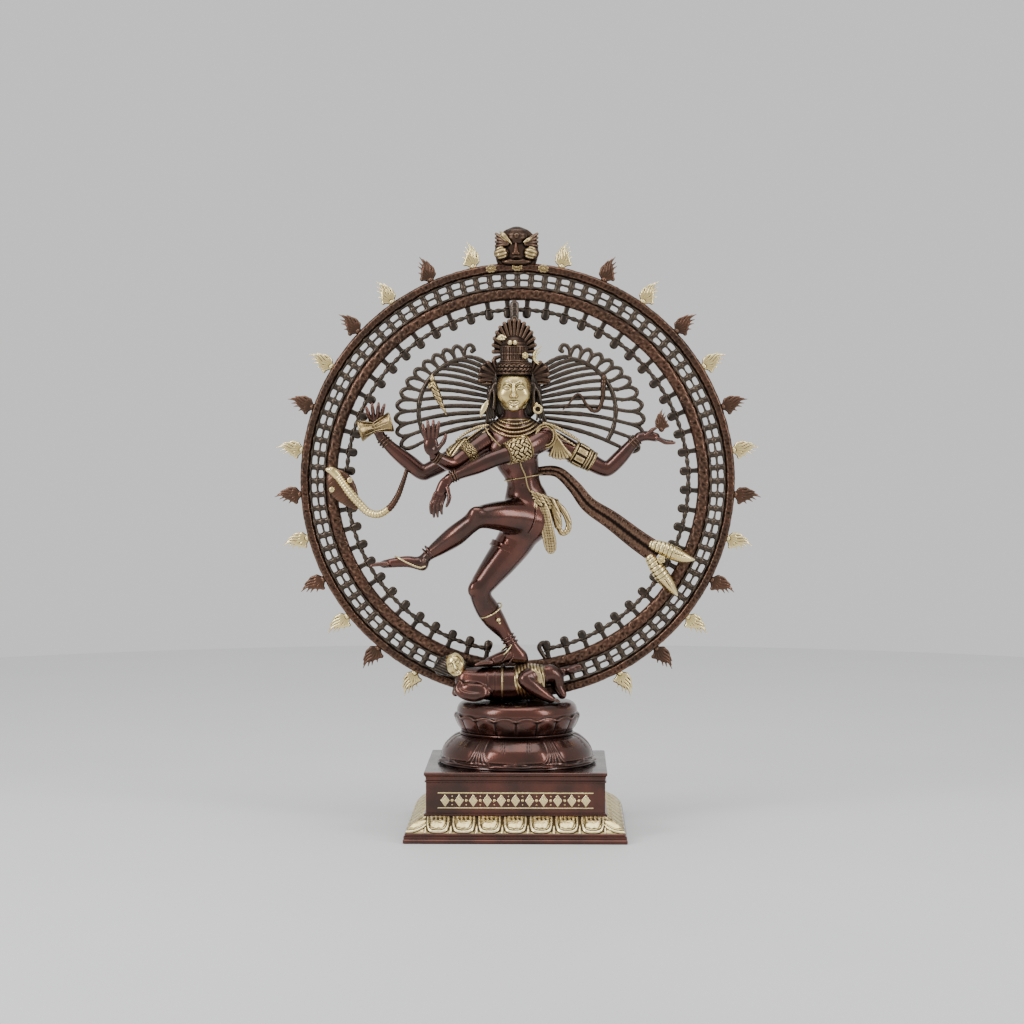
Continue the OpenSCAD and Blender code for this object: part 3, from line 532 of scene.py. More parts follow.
def petal_relief(x, v, w):
    """Height of a drooping petal w wide each side of x = 0, where v runs from its tip to its root."""
    down = np.maximum(0.78 - v, 0) / 0.74
    q = ((np.abs(x) / w) ** 3.2 + down**3.0) ** (1 / 3.1)
    ripple = 0.022 * np.sin(7 * np.arctan2(x / w, v - 0.75))
    body = 1.5 * ramp(q, 1.03, 0.96)
    groove = 1.1 * bump(q, 0.79, 0.035) + 0.7 * bump(q + ripple, 0.69, 0.03)
    panel = 0.9 * ramp(q + ripple, 0.7, 0.35)
    tufts = 0
    for at in (-0.36, 0, 0.36):
        tufts = tufts + bump(x / w, at + 0.04, 0.09) * ramp(v, 0.7, 0.8)
        tufts = tufts + 0.8 * bump(x / w, at - 0.09, 0.05) * ramp(v, 0.78, 0.86)
    return body - groove + panel - 1.2 * tufts * (q < 0.8), q


def petal_band():
    """The sloping band with seven petals on each side and a folded one over each corner."""
    rows, along = 44, 330
    t = np.linspace(0, 1, rows)
    o = BAND_OUT - BAND_RUN * t**BAND_BEND
    z = BAND_Z + BAND_H * t
    base = box_rings(o, z, along)
    out = box_rings(o + 1, z, along) - base
    lean = np.arctan2(BAND_H, BAND_RUN * BAND_BEND * np.maximum(t, 0.02) ** 0.35)
    up = np.broadcast_to(np.cos(lean), out.shape[:2])
    out = np.stack([out[..., 0] * np.sin(lean), out[..., 1] * np.sin(lean), up], -1)
    places = base.shape[0]
    side = (np.arange(places) // (places // 4))[:, None]
    ends = np.where(side % 2 == 0, BOX_Y, BOX_X)
    x = np.where(side % 2 == 0, base[..., 1], base[..., 0])
    x = np.where(np.arange(places)[:, None] % (places // 4) < 4, ends + o, x)
    pitch = 2 * ends / PETALS
    near = x - pitch * np.clip(np.round(x / pitch), -3, 3)
    relief, q = petal_relief(near * PETAL_PITCH / pitch, t[None], PETAL_HALF)
    fold, _ = petal_relief(ends + o - np.abs(x), t[None], CORNER_HALF)
    dart = 0.8 * bump(np.abs(near), pitch / 2, 1.1) * ramp(t, 0.62, 0.3) * (np.abs(x) < ends)
    height = np.where(q < 1.04, relief, np.maximum(fold * 0.75, dart))
    height += 0.12 * grain(3, height.shape, 1)
    edge = ramp(t, 0, 0.04) * ramp(t, 1, 0.97)
    return embossed(base, out, height * edge[None])


def plinth():
    foot = [
        (22, 0), (30.5, 0), (32, 1), (32, 5.2), (31, 6), (30.6, 6.8), (31.2, 7.4), (31, 10.6), (29.6, 11.4),
        (29.2, 12.3), (29.4, 14.2), (28.4, 15), (22, 15)
    ]
    add_piece("plinth_foot_moulding", moulding(foot), COPPER, "plinth_foot", crease=28)
    add_piece("plinth_petals_cast", petal_band(), GILT, "plinth_petal_band", "plinth_petals")
    box = [
        (-5, 36), (0.6, 36), (2.6, 36.6), (2.9, 38), (2.2, 39.2), (0.5, 40), (0, 41.5), (0, 84.6), (0.4, 85),
        (1.7, 85.6), (1.7, 87.2), (0.3, 87.9), (0, 88.6), (0, 90), (-5, 90)
    ]
    add_piece("plinth_box_walls", moulding(box), COPPER, "plinth_box", crease=28)
    cornice = [
        (-5, 94), (-5, 90), (0.2, 90), (0.4, 91.5), (0.9, 93.2), (1.9, 94.8), (3, 95.7), (3, 96.4),
        (2.8, 96.6), (3, 97), (3, 99), (2.4, 99.7), (1.4, 100)
    ]
    cornice += [(1.4 - k, 100) for k in (2, 6, 12, 20, 40, 80, 110)]
    add_piece("plinth_cornice_plate", moulding(cornice, False), COPPER, "plinth_cornice", crease=28)


def ornament_band():
    """Lozenges and dots between two beaded fillets, raised on the front of the box."""
    y, z, half, count = -BOX_Y, 58.7, 113, 11
    pitch = 2 * half / count
    forms = []
    for level in (z - 11, z + 11):
        bar = [(-half, y + 0.4, level, 1.0), (0, y + 0.2, level, 1.2), (half, y + 0.4, level, 1.0)]
        forms.append(tube(bar, 10))
    for k in range(count):
        x = (k - (count - 1) / 2) * pitch
        for size, lift in ((1.0, 0.9), (0.52, 1.7)):
            cone = [(9 * size, -0.6), (9 * size, lift * 0.6), (8 * size, lift), (0.2, lift + 0.5 * size)]
            diamond = lathe(cone, 4).turned(Matrix.Diagonal((0.72, 1, 1, 1)))
            forms.append(diamond.turned(Matrix.Translation((x, y, z)) @ FACING_FRONT))
    for k in range(count - 1):
        for height, r in ((0, 2.4), (6.2, 1.1), (-6.2, 1.1)):
            place = Matrix.Translation(((k + 1 - count / 2) * pitch, y + 0.2, z + height))
            forms.append(dome(r, r * 0.75).turned(place @ FACING_FRONT))
    add_piece("ornament_band_raised", forms, GILT, "ornament_band", crease=30)


# ---------- lotus ----------

OVAL = 0.95  # depth of the lotus over its width


def turned_sheet(rows, relief, step=1.3, around=600, oval=OVAL):
    """A turned oval form with relief(angle, share of height, radius) raised on it; the top closes flat."""
    r, z = close_rows(smooth_path(rows, 6), step).T
    a = circle(around)[:, None]
    share = (z - z[0]) / (z[-1] - z[0])
    slope = np.gradient(z), -np.gradient(r)
    length = np.hypot(*slope)
    n_r, n_z = slope[0] / length, slope[1] / length
    grid = np.stack([r * np.cos(a), oval * r * np.sin(a), np.broadcast_to(z, (len(a), len(z)))], -1)
    out = np.stack([n_r * np.cos(a), n_r * np.sin(a), np.broadcast_to(n_z, (len(a), len(z)))], -1)
    return embossed(grid, out, relief(a, share[None], r[None]))


def lower_relief(a, share, r):
    """Six broad petals: ribs flare from each seam into curls at the hem; fine lines run down each petal."""
    a = a + math.pi / 2
    seam = (a + math.pi / 6) % (math.pi / 3) - math.pi / 6
    seam = np.where(seam > 0, seam - math.pi / 6, seam + math.pi / 6) * r
    u = np.abs(seam)
    flare = (1 - share) ** 2.4
    ribs = 0
    for k in range(3):
        at = (1.6 + 3.2 * k) * (0.8 + 1.3 * flare) + 6 * k * flare**3
        ribs = ribs + 0.95 * bump(u, at, 1.05 + 0.7 * flare) * ramp(share, 0.06, 0.16)
    belly = 1.9 * ramp(u, 3, 20) * ramp(share, 0.04, 0.2) * ramp(share, 1.0, 0.85)
    middle = np.abs(((a + math.pi / 6) % (math.pi / 3) - math.pi / 6) * r)
    lines = -0.7 * (
        bump(middle, 17, 0.5) + bump(middle, 20.2, 0.5) + 0.6 * bump(middle, 23, 0.5)
    ) * ramp(share, 0.42, 0.6)
    tick = bump(middle, 0, 0.8 + 26 * np.maximum(0.2 - share, 0))
    tick = tick * ramp(share, 0.26, 0.14) * ramp(share, 0.05, 0.1)
    hem = 0.9 * bump(share, 0.09 + 0.03 * np.cos(a * 12), 0.018)
    wave = 0.9 * np.sin(a * 18) * ramp(share, 0.1, 0.02)
    return ribs + belly + lines + tick + hem + wave


def upper_relief(a, share, r):
    """Upturned petals with a wavy lip under a smooth cushion."""
    petals = 18
    phase = np.abs(np.sin((a + math.pi / 2) * petals / 2))
    lip = 0.5 + 0.065 * phase
    under = 1.4 * phase**0.7 * ramp(share, 0.02, 0.2) * ramp(share, lip, lip - 0.05)
    edge = 2.6 * bump(share, lip, 0.028)
    crease = -1.0 * bump(phase, 0, 0.12) * ramp(share, lip, lip - 0.1)
    return under + edge + crease


def cut(piece, boxes):
    """Cuts boxes, given as centre and size in mm, out of a piece."""
    for centre, size in boxes:
        bpy.ops.mesh.primitive_cube_add(
            size=1, location=[c * MM for c in centre], scale=[s * MM for s in size]
        )
        cutter = bpy.context.object
        modifier = piece.modifiers.new("cut", "BOOLEAN")
        modifier.operation, modifier.solver, modifier.object = "DIFFERENCE", "EXACT", cutter
        mesh = bpy.data.meshes.new_from_object(piece.evaluated_get(bpy.context.evaluated_depsgraph_get()))
        piece.modifiers.remove(modifier)
        old, piece.data = piece.data, mesh
        bpy.data.meshes.remove(old)
        bpy.data.objects.remove(cutter)


def lotus():
    foot = lathe(
        [(103, 100), (115.2, 100), (115.8, 101), (115.2, 103.2), (116.4, 104), (103, 104.2)], 160, OVAL
    )
    add_piece("lotus_foot_step", foot, COPPER, "lotus_foot", crease=35)
    lower = [
        (116.6, 104), (119.4, 104.6), (118.6, 106), (113.4, 108), (112.6, 113), (111, 119.5), (107.6, 126),
        (101.6, 132.4), (94, 138.4), (86.4, 142.6), (84.6, 143.6)
    ]
    add_piece("lotus_lower_petals", turned_sheet(lower, lower_relief), COPPER, "lotus_lower")
    ridge = [
        (80, 143.3), (85.2, 143.4), (86.3, 144.2), (85.2, 145), (84.4, 145.2), (85, 145.7), (84.6, 146.4),
        (80, 146.6)
    ]
    add_piece("lotus_collar_ridge", lathe(ridge, 200, OVAL), COPPER, "lotus_collar", crease=35)
    upper = [
        (82.6, 146.6), (84.6, 150), (89.4, 159), (93, 168), (92.4, 171), (90.6, 173.6), (90.6, 178),
        (89, 184), (85, 189), (79, 191.4), (70, 192), (40, 192), (4, 192)
    ]
    top = add_piece("lotus_upper_cushion", turned_sheet(upper, upper_relief), COPPER, "lotus_upper")
    socket = (23, 13, 48)
    cut(top, [((x, RING_Y, 192), socket) for x in (-30, 30)])


# ---------- ring of flames ----------

RING_CENTRE = Matrix.Translation((0, RING_Y, RING_Z))
OUTER_RIM, INNER_RIM = (314, 329), (271, 290.7)  # radii
RIM_SECTION = 30  # points round a rim's section
BARS = 92
WIRES = (291.6, 2.3), (302.4, 1.7), (313.3, 2.3)  # radius and gauge of the lattice's wires
DROPS, FRINGE_END = 54, 170  # drops of the fringe, and where it ends in degrees from the top
ARC_R = 258
FLAME_PAIRS, FLAME_END, FLAME_R = 13, 152, 326.5
ROSETTE_R = 321.5


def on_ring(form, degrees=0.0):
    """Carries a form drawn above the ring's centre to its place, turned clockwise from the top."""
    return form.turned(RING_CENTRE @ turn("Y", degrees))


def rim_sheet(low, rub_glint_mask, half_t, around, relief):
    """A round rim between two radii with relief(arc length, place across, front) raised on it."""
    a = circle(around)[:, None]
    b = circle(RIM_SECTION)[None]
    w, t = np.cos(b), np.sin(b)
    w, t = squared(w, 0.7), squared(t, 0.8)
    shape = (around, RIM_SECTION)
    mid, half = (low + rub_glint_mask) / 2, (rub_glint_mask - low) / 2 - 0.8
    r = mid + half * w
    grid = np.stack([r * np.sin(a), np.broadcast_to(-(half_t - 0.8) * t, shape), r * np.cos(a)], -1)
    out = np.stack([np.cos(b) * np.sin(a), np.broadcast_to(-np.sin(b), shape), np.cos(b) * np.cos(a)], -1)
    height = relief(a * mid, np.broadcast_to(w, shape), np.abs(np.sin(b)))
    return embossed(grid, out, height, True, 3)


def vine(s, w, face, wave):
    """A scrolling stem with a curled bud in each bend."""
    stem = bump(w, 0.4 * np.sin(2 * math.pi * s / wave), 0.14)
    half = np.round(s / (wave / 2) - 0.5)
    ds = s - (half + 0.5) * wave / 2
    dw = (w + 0.42 * np.where(half % 2 == 0, 1, -1)) * 9
    d = np.hypot(ds, dw)
    bud = 1.1 * bump(d, 3.4, 1.0) + 1.2 * bump(d, 0, 1.5)
    leaf = 0.6 * bump(np.abs(ds), 5.2, 1.0) * bump(dw, 3, 3.2)
    return (np.maximum(stem, np.maximum(bud, leaf)) - 0.35) * ramp(face, 0.35, 0.75) * 0.95


def inner_relief(s, w, face):
    shape = np.broadcast(s, w).shape
    return 0.85 * vine(s, w, face, 38.0) + 0.18 * grain(5, shape, 1) + 0.2 * grain(6, shape, 4)


def outer_relief(s, w, face):
    shape = np.broadcast(s, w).shape
    rough = 0.22 * grain(7, shape, 1) + 0.25 * grain(8, shape, 4)
    lines = 0.4 * (bump(w, 0.62, 0.12) + bump(w, -0.62, 0.12))
    return 0.45 * vine(s, w, face, 26.0) + rough + lines * ramp(face, 0.2, 0.5)


def lattice():
    """Two rows of rounded windows between lumpy wires."""
    rng = np.random.default_rng(11)
    forms = []
    for r, wire in WIRES:
        a = circle(600)
        swell = wire + 1.3 * np.cos(a * BARS / 2) ** 4 + 0.2 * rng.standard_normal(600)
        rows = np.stack([r * np.cos(a), r * np.sin(a), 0 * a, swell], 1)
        forms.append(on_ring(tube(rows, 8, 1.5, n=0, across=(0, 0, 1), closed=True).turned(FACING_FRONT)))
    for k in range(BARS):
        for low, rub_glint_mask in ((291.5, 302.4), (302.4, 313.3)):
            jitter = 0.3 * rng.standard_normal(2)
            mid = (low + rub_glint_mask) / 2
            bar = [
                (0, 0, low, 5.6), (jitter[0] / 2, 0, low + 2.8, 4.8),
                (jitter[0], 0, mid, 4.2 + 0.4 * abs(jitter[1])), (jitter[0] / 2, 0, rub_glint_mask - 2.8, 4.8),
                (0, 0, rub_glint_mask, 5.6)
            ]
            forms.append(on_ring(tube(bar, 8, 0.8, n=2), k * 360 / BARS))
    add_piece("aureole_lattice_bars", forms, DARK, "aureole_lattice", body="aureole")


def fringe():
    """Club shaped drops hanging inwards, tied by a beaded arc that stops above the lotus."""
    drop = [
        (4.4, 274), (3.9, 270), (3.6, 266), (3.9, 262), (5.5, 258), (6.5, 254), (6.6, 250.5), (5.4, 247.4)
    ]
    drop = smooth_path(drop + [(3.0, 245.6), (0.4, 245)], 2)[::-1]
    drop = lathe(drop, 14, 0.55, lambda a, z: -0.9 * bump(np.cos(a), 0, 0.3) * ramp(z, 248, 252))
    one = joined([drop, hoop(4.4, 1.2, 20, 6, squash=0.7).moved(z=261.5)])
    forms = [on_ring(one, mix(-FRINGE_END, FRINGE_END, k / (DROPS - 1))) for k in range(DROPS)]
    a = np.linspace(math.radians(-FRINGE_END), math.radians(FRINGE_END), 860)
    swell = 2.2 + 1.5 * np.abs(np.sin(a * (DROPS - 1) * 2.5 * 90 / FRINGE_END))
    arc = np.stack([ARC_R * np.sin(a), 0 * a, ARC_R * np.cos(a), swell], 1)
    forms.append(on_ring(tube(arc, 8, 0.8, n=0)))
    left = [(-46, 0, -271, 3), (-46, 0, -258, 3.2), (-45, 0, -250, 4.2), (-44, 0, -243, 2.4)]
    curl = [
        (45, 0, -272, 3), (38, 0, -262, 3.2), (33, 0, -252, 3.6), (38, 0, -245, 3.4), (45, 0, -247, 3),
        (44, 0, -253, 2)
    ]
    forms += [on_ring(tube(left, 8, n=3)), on_ring(tube(curl, 8, n=4))]
    add_piece("aureole_fringe_drops", forms, DARK, "aureole_fringe", body="aureole")


def flame_form():
    """A flame of wavy tongues rising from a round boss, drawn above Z = 0."""
    clay = Clay((-17, -5.5, -4), (17, 5.5, 46), 0.75)
    for k, tall in ((-2.5, 24), (-1.7, 33), (-0.8, 37), (0, 42), (0.9, 35), (1.7, 30), (2.5, 21)):
        rows = [
            (1.2 * k, 0, 4, 2.0), (3.5 * k, 0, 6 + tall * 0.14, 2.8), (4.1 * k + 1.7, 0, tall * 0.45, 2.7),
            (3.7 * k - 1.2, 0, tall * 0.73, 2.0), (4.5 * k + 1.6, 0, tall, 0.5)
        ]
        clay.limb(rows, 0.15, 6, 1.2)
    clay.lump((0, 0, 3.2), (5.2, 4.6, 5.2), 0.5)
    clay.dent(lambda x, y, z: 0.5 * bump(np.hypot(x, z - 3.2), 3.4, 0.5) * (np.abs(y) > 1.5))
    return clay.form(1)


def blossom(r, petals):
    """A flower with a domed centre, 3 mm high and facing +Z."""
    rows = [
        (0.3, -0.5), (0.92, -0.2), (1.0, 0.1), (0.97, 0.35), (0.8, 0.6), (0.55, 0.42), (0.4, 0.3),
        (0.36, 0.6), (0.28, 0.9), (0.1, 1.0)
    ]
    a = circle(petals * 12)[:, None]
    f, z = np.array(rows).T
    scallop = 1 - 0.24 * (1 - np.abs(np.sin(a * petals / 2)) ** 0.6) * ramp(f, 0.42, 0.7)
    groove = -0.3 * bump(np.abs(np.sin(a * petals / 2)), 0, 0.25) * (f > 0.45) * (z > 0)
    grid = np.stack(
        [r * f * scallop * np.cos(a), r * f * scallop * np.sin(a), 3.0 * (z + groove) + 0 * a], -1
    )
    return sheet(grid)


def aureole():
    outer = rim_sheet(*OUTER_RIM, 9, 1700, outer_relief)
    inner = rim_sheet(*INNER_RIM, 8, 1500, inner_relief)
    add_piece("aureole_outer_rim_chased", on_ring(outer), RIM, "aureole_outer_rim", body="aureole")
    add_piece("aureole_inner_rim_chased", on_ring(inner), RIM, "aureole_inner_rim", body="aureole")
    lattice()
    fringe()
    flame = flame_form().moved(z=FLAME_R)
    pair = [(s, flame.turned(Matrix.Diagonal((s, 1, 1, 1)))) for s in (-1, 1)]
    step = FLAME_END / FLAME_PAIRS
    for node, first, metal_of in (("flames_gilt", 1, GILT), ("flames_copper", 2, RIM)):
        copies = [on_ring(one, s * k * step) for k in range(first, FLAME_PAIRS + 1, 2) for s, one in pair]
        add_piece(node + "_cast", copies, metal_of, node, body="aureole")
    flower = blossom(6.4, 8).turned(Matrix.Diagonal((1.35, 1, 1, 1))).turned(FACING_FRONT)
    roses = [on_ring(flower.moved(y=-9, z=ROSETTE_R), a) for a in (-7, 0, 7)]
    add_piece("rim_rosettes_cast", roses, OLD_GILT, "rim_rosettes", body="aureole")


# ---------- body ----------


def at_side(rows, side):
    """Rows drawn for the +X side, mirrored for side -1."""
    return [(side * r[0], *r[1:]) for r in rows]


def finger(clay, root, tip, r, bend=(0, -2.0, 0)):
    """One finger with its knuckles, bent a little in the middle."""
    root, tip, bend = np.array(root, float), np.array(tip, float), np.array(bend, float)
    rows = [
        (*root, r * 1.05), (*(mix(root, tip, 0.35) + 0.7 * bend), r * 0.92),
        (*(mix(root, tip, 0.5) + bend), r), (*(mix(root, tip, 0.78) + 0.7 * bend), r * 0.82), (*tip, r * 0.62)
    ]
    clay.limb(rows, 0.9, 2)


def hand(clay, roots, tips, r, lengths=(0.86, 1.0, 0.97, 0.82), bend=(0, -2.0, 0)):
    """Four fingers whose roots and tips run between two points each."""
    for k, long in enumerate(lengths):
        a = mix(np.array(roots[0], float), np.array(roots[1], float), k / 3)
        b = mix(np.array(tips[0], float), np.array(tips[1], float), k / 3)
        finger(clay, a, mix(a, b, long), r, bend)


def torso(clay):
    trunk = [
        (15, -17, 462, 31), (15, -17, 486, 34), (12, -18, 505, 28), (10, -18, 523, 24.5), (5, -19, 542, 28)
    ]
    clay.limb(trunk + [(-1, -20, 560, 33), (-3, -20, 575, 33)], 0, 7, 0.76)
    clay.limb([(-40, -15, 587, 16), (-3, -16, 592, 20), (36, -15, 590, 16)], 14, 3)
    clay.limb([(-34, -14, 600, 9), (-18, -15, 608, 12), (12, -15, 608, 12), (28, -14, 602, 9)], 8, 3)
    clay.limb([(-3, -17, 596, 16), (-3, -19, 612, 18.5), (-4, -22, 640, 17)], 8, 3)
    for x in (-22, 17):
        clay.lump((x, -33, 571), (20, 11, 15), 7)
    clay.lump((9, -33, 524), (15, 7, 22), 8)
    clay.lump((9.5, -41.5, 517), (2, 3, 2.2), 1.5, carve=True)
    clay.limb([(6, -44, 560, 0.8), (9, -42, 535, 0.8)], 2.5, 2, carve=True)
    for x in (0, 32):
        clay.lump((x, 1, 466), (22, 19, 24), 10)


def standing_leg(clay):
    leg = [
        (8, -16, 452, 30), (-4, -18, 430, 27.5), (-24, -22, 403, 24), (-42, -27, 380, 20),
        (-54, -30, 362, 17), (-52, -28, 347, 15.8), (-43, -21, 330, 17.6), (-32, -18, 313, 15.5),
        (-20, -16, 297, 11)
    ]
    clay.limb(leg + [(-10, -16, 282, 8.6), (-2, -15, 270, 8.8), (5, -13, 262, 9.5)], 8, 8)
    clay.lump((-64, -41, 363), (8, 8, 11), 7, 20)
    clay.limb([(8, -11, 255, 9.5), (-14, -18, 260, 10), (-40, -26, 252, 8)], 5, 4, 1.15)
    clay.lump((-6, -7, 272), (4, 4, 4), 3)
    for k in range(5):
        finger(
            clay, (-38, -35 + 4.2 * k, 252), (-61 + 2.4 * k, -37 + 4.8 * k, 248.5), 3.9 - 0.25 * k,
            (0, 0, 1.5)
        )


def raised_leg(clay):
    leg = [
        (22, -22, 463, 29), (0, -36, 469, 26.5), (-28, -56, 472, 21.5), (-54, -71, 470, 16.5),
        (-70, -72, 459, 14.6), (-90, -67, 443, 15.8), (-112, -62, 427, 12.5), (-130, -60, 414, 8.6),
        (-140, -58, 404, 8.6)
    ]
    clay.limb(leg, 10, 8)
    clay.lump((-60, -80, 477), (10, 8, 9), 7, -30)
    clay.limb(
        [(-139, -57, 399, 9), (-158, -59, 404, 8.8), (-178, -60, 403, 7.6), (-196, -61, 400.5, 6)], 5, 4, 1.2
    )
    clay.lump((-136, -68, 406), (3.5, 3, 3.5), 3)
    for k in range(5):
        finger(
            clay, (-190, -69 + 3.9 * k, 401), (-215 + 2.6 * k, -71 + 4.4 * k, 398.5), 3.6 - 0.25 * k,
            (0, 0, 1.2)
        )


def body():
    clay = Clay((-224, -92, 240), (56, 32, 646), 1.4)
    torso(clay)
    standing_leg(clay)
    raised_leg(clay)
    add_piece("figure_body", clay.form(5), COPPER, "torso", "standing_leg", "raised_leg")


def rear_right_arm():
    clay = Clay((-236, -40, 518), (-14, 20, 645), 1.0)
    rows = [
        (-40, -12, 586, 18), (-68, -7, 573, 16.5), (-104, -1, 553, 14), (-132, 1, 538, 12.2),
        (-143, 1, 535.5, 12)
    ]
    clay.limb(rows + [(-162, 0, 550, 12), (-184, -4, 568, 9.8), (-203, -8, 587, 6.8)], 0, 8)
    clay.limb([(-204, -8, 589, 7), (-210, -10, 603, 8.5), (-211, -11, 614, 8)], 4, 3, 0.7)
    hand(
        clay, [(-219, -13, 614), (-203, -13, 617)], [(-226, -22, 636), (-196, -22, 641)], 3.2, bend=(0, -3, 1)
    )
    finger(clay, (-203, -13, 600), (-192, -24, 612), 3.4)
    add_piece("rear_right_arm_cast", clay.form(), COPPER, "rear_right_arm")


def front_right_arm():
    clay = Clay((-146, -92, 536), (-20, 2, 624), 0.85)
    rows = [(-44, -24, 582, 17), (-66, -37, 567, 14.5), (-86, -48, 552, 12.5), (-97, -54, 549, 11.5)]
    clay.limb(rows + [(-110, -63, 555, 9.5), (-121, -71, 561, 7.2)], 0, 8)
    clay.lump((-125, -76, 576), (11, 5.2, 15), 3)
    clay.lump((-118, -79, 570), (5, 4, 7), 2.5, 20)
    hand(
        clay, [(-133, -77, 587), (-117, -77, 589)], [(-138, -80, 612), (-113, -80, 613)], 3.3,
        (0.8, 0.98, 1.0, 0.9), (0, -1.5, 0)
    )
    finger(clay, (-116, -79, 570), (-103, -82, 592), 3.6, (2.5, -1, 0))
    add_piece("front_right_arm_cast", clay.form(), COPPER, "front_right_arm")


def front_left_arm():
    clay = Clay((-132, -92, 466), (66, 6, 612), 1.0)
    rows = [
        (42, -20, 587, 19), (22, -40, 576, 16.5), (-3, -55, 566, 14), (-22, -63, 560, 12.3),
        (-38, -66, 554, 12)
    ]
    clay.limb(rows + [(-58, -68, 545, 11.3), (-78, -70, 537, 9), (-98, -71, 528, 6.6)], 0, 8)
    clay.limb([(-99, -71, 527, 7), (-106, -73, 519, 8.6), (-111, -74, 508, 8.4)], 3, 3, 0.62)
    hand(
        clay, [(-119, -74, 505), (-105, -74, 502)], [(-126, -80, 472), (-110, -80, 470)], 3.1,
        bend=(-2.5, -3.5, 0)
    )
    finger(clay, (-101, -76, 514), (-102, -83, 487), 3.4, (3.5, -2, 0))
    add_piece("front_left_arm_cast", clay.form(), COPPER, "front_left_arm")


def rear_left_arm():
    clay = Clay((20, -36, 520), (246, 18, 612), 1.0)
    rows = [
        (42, -10, 586, 18), (76, -4, 570, 16), (106, 0, 553, 13.6), (128, 1, 541.5, 12), (138, 1, 542, 11.6)
    ]
    clay.limb(rows + [(154, -1, 557, 11.4), (170, -4, 575, 9), (183, -7, 588, 6.8)], 0, 8)
    clay.limb([(183, -7, 588, 7), (195, -9, 590, 7.6), (207, -10, 588, 7)], 3, 3, 1.15)
    hand(
        clay, [(209, -17, 586), (209, -4, 588)], [(236, -18, 578), (236, -3, 581)], 3.0,
        (0.84, 0.98, 1.0, 0.86), (0, 0, -2.5)
    )
    finger(clay, (194, -15, 592), (208, -20, 602), 3.2, (0, -1, 1))
    add_piece("rear_left_arm_cast", clay.form(), COPPER, "rear_left_arm")


# ---------- head ----------

HEAD = (-4, -24, 657)  # the middle of the head


def face_form(cell=0.6):
    """A calm, even face on plain proportions, about the head's centre."""
    clay = Clay((-30, -38, -36), (30, 4, 30), cell)
    clay.lump((0, 0, 2), (26, 28.6, 31))
    clay.lump((0, -4, -14), (18.5, 21, 18), 9)
    clay.lump((0, -20, -26), (7.5, 6.5, 5), 6)
    for s in (-1, 1):
        clay.lump((14 * s, -17, -6), (9, 8, 9), 8)
        clay.lump((10.4 * s, -31, 6), (7.4, 5, 4.4), 4, carve=True)
        clay.lump((10.4 * s, -23.6, 5.2), (6, 4.6, 4), 0.8)
        clay.limb(at_side([(4.6, -26.2, 4.2, 0.8), (10.4, -28.7, 7.6, 1.1), (16.6, -24.2, 5.0, 0.7)], s), 0.5)
        clay.limb(at_side([(5, -26.4, 3.6, 0.5), (10.4, -27.8, 2.2, 0.8), (16, -24.2, 4.2, 0.5)], s), 0.5)
        clay.limb(at_side(
            [(5.4, -28.6, 4.6, 0.35), (10.4, -29.2, 4.6, 0.45), (15.4, -26, 4.6, 0.3)], s
        ), 0.4, carve=True)
        clay.limb(at_side([(3.2, -28.4, 11, 1.0), (10.5, -28.8, 14, 1.3), (19, -22.8, 11, 0.7)], s), 1.4)
        clay.lump((3.7 * s, -29.6, -8.6), (2.5, 3, 2.4), 1.2)
    clay.limb([(0, -27.8, 9, 2.2), (0, -30.2, 0, 2.6), (0, -32.4, -7.4, 3.5)], 2.2)
    for s in (-1, 1):
        clay.lump((2.3 * s, -31, -11.2), (1.1, 1.8, 0.9), 0.6, carve=True)
    upper = [
        (-8.4, -24.8, -17.4, 0.8), (-3, -28, -16.4, 1.6), (0, -28.2, -17.2, 1.5), (3, -28, -16.4, 1.6),
        (8.4, -24.8, -17.4, 0.8)
    ]
    clay.limb(upper, 0.7)
    clay.limb([(-6.6, -25.6, -19.2, 0.9), (0, -28, -20.8, 2.1), (6.6, -25.6, -19.2, 0.9)], 0.7)
    clay.limb([(-9, -25.8, -17.8, 0.5), (0, -30.2, -18.6, 0.5), (9, -25.8, -17.8, 0.5)], 0.6, carve=True)
    return clay.form()


def head():
    add_piece("figure_face", face_form().moved(*HEAD), GILT, "face")
    clay = Clay((-58, -52, 596), (54, 12, 704), 0.9)
    clay.lump((-4, -20, 660), (27, 25, 34))
    clay.lump((-4, -6, 652), (42, 11, 44), 2)
    for k in range(4):
        ys, zs = (-14 - 2 * k, -18 - k, -20, -18), (684 - 4 * k, 664 - 3 * k, 640 - 4 * k, 614 - 2 * k)
        for xs in ((-30, -36 - k, -37 - 2 * k, -34 - 4 * k), (22, 29 + k, 32 + 2 * k, 30 + 5 * k)):
            clay.limb(list(zip(xs, ys, zs, (3, 3.4, 3, 2))), 0.6, 4)
    for s in (-1, 1):
        ear = [
            (26 * s - 4, -22, 668, 3.6), (30 * s - 4, -22, 664, 3.4), (29 * s - 4, -24, 654, 2.6),
            (29 * s - 4, -26, 643, 2.6)
        ]
        clay.limb(ear + [(30 * s - 4, -28, 632, 3.2)], 2)
        clay.lump((30 * s - 4, -29, 660), (1.6, 3, 4), 1, carve=True)
    clay.dent(lambda x, y, z: 0.6 * np.abs(np.sin(x * 0.9 + z * 0.25)) * (y > -24))
    add_piece("figure_head", clay.form(), DARK, "head")


# ---------- demon ----------


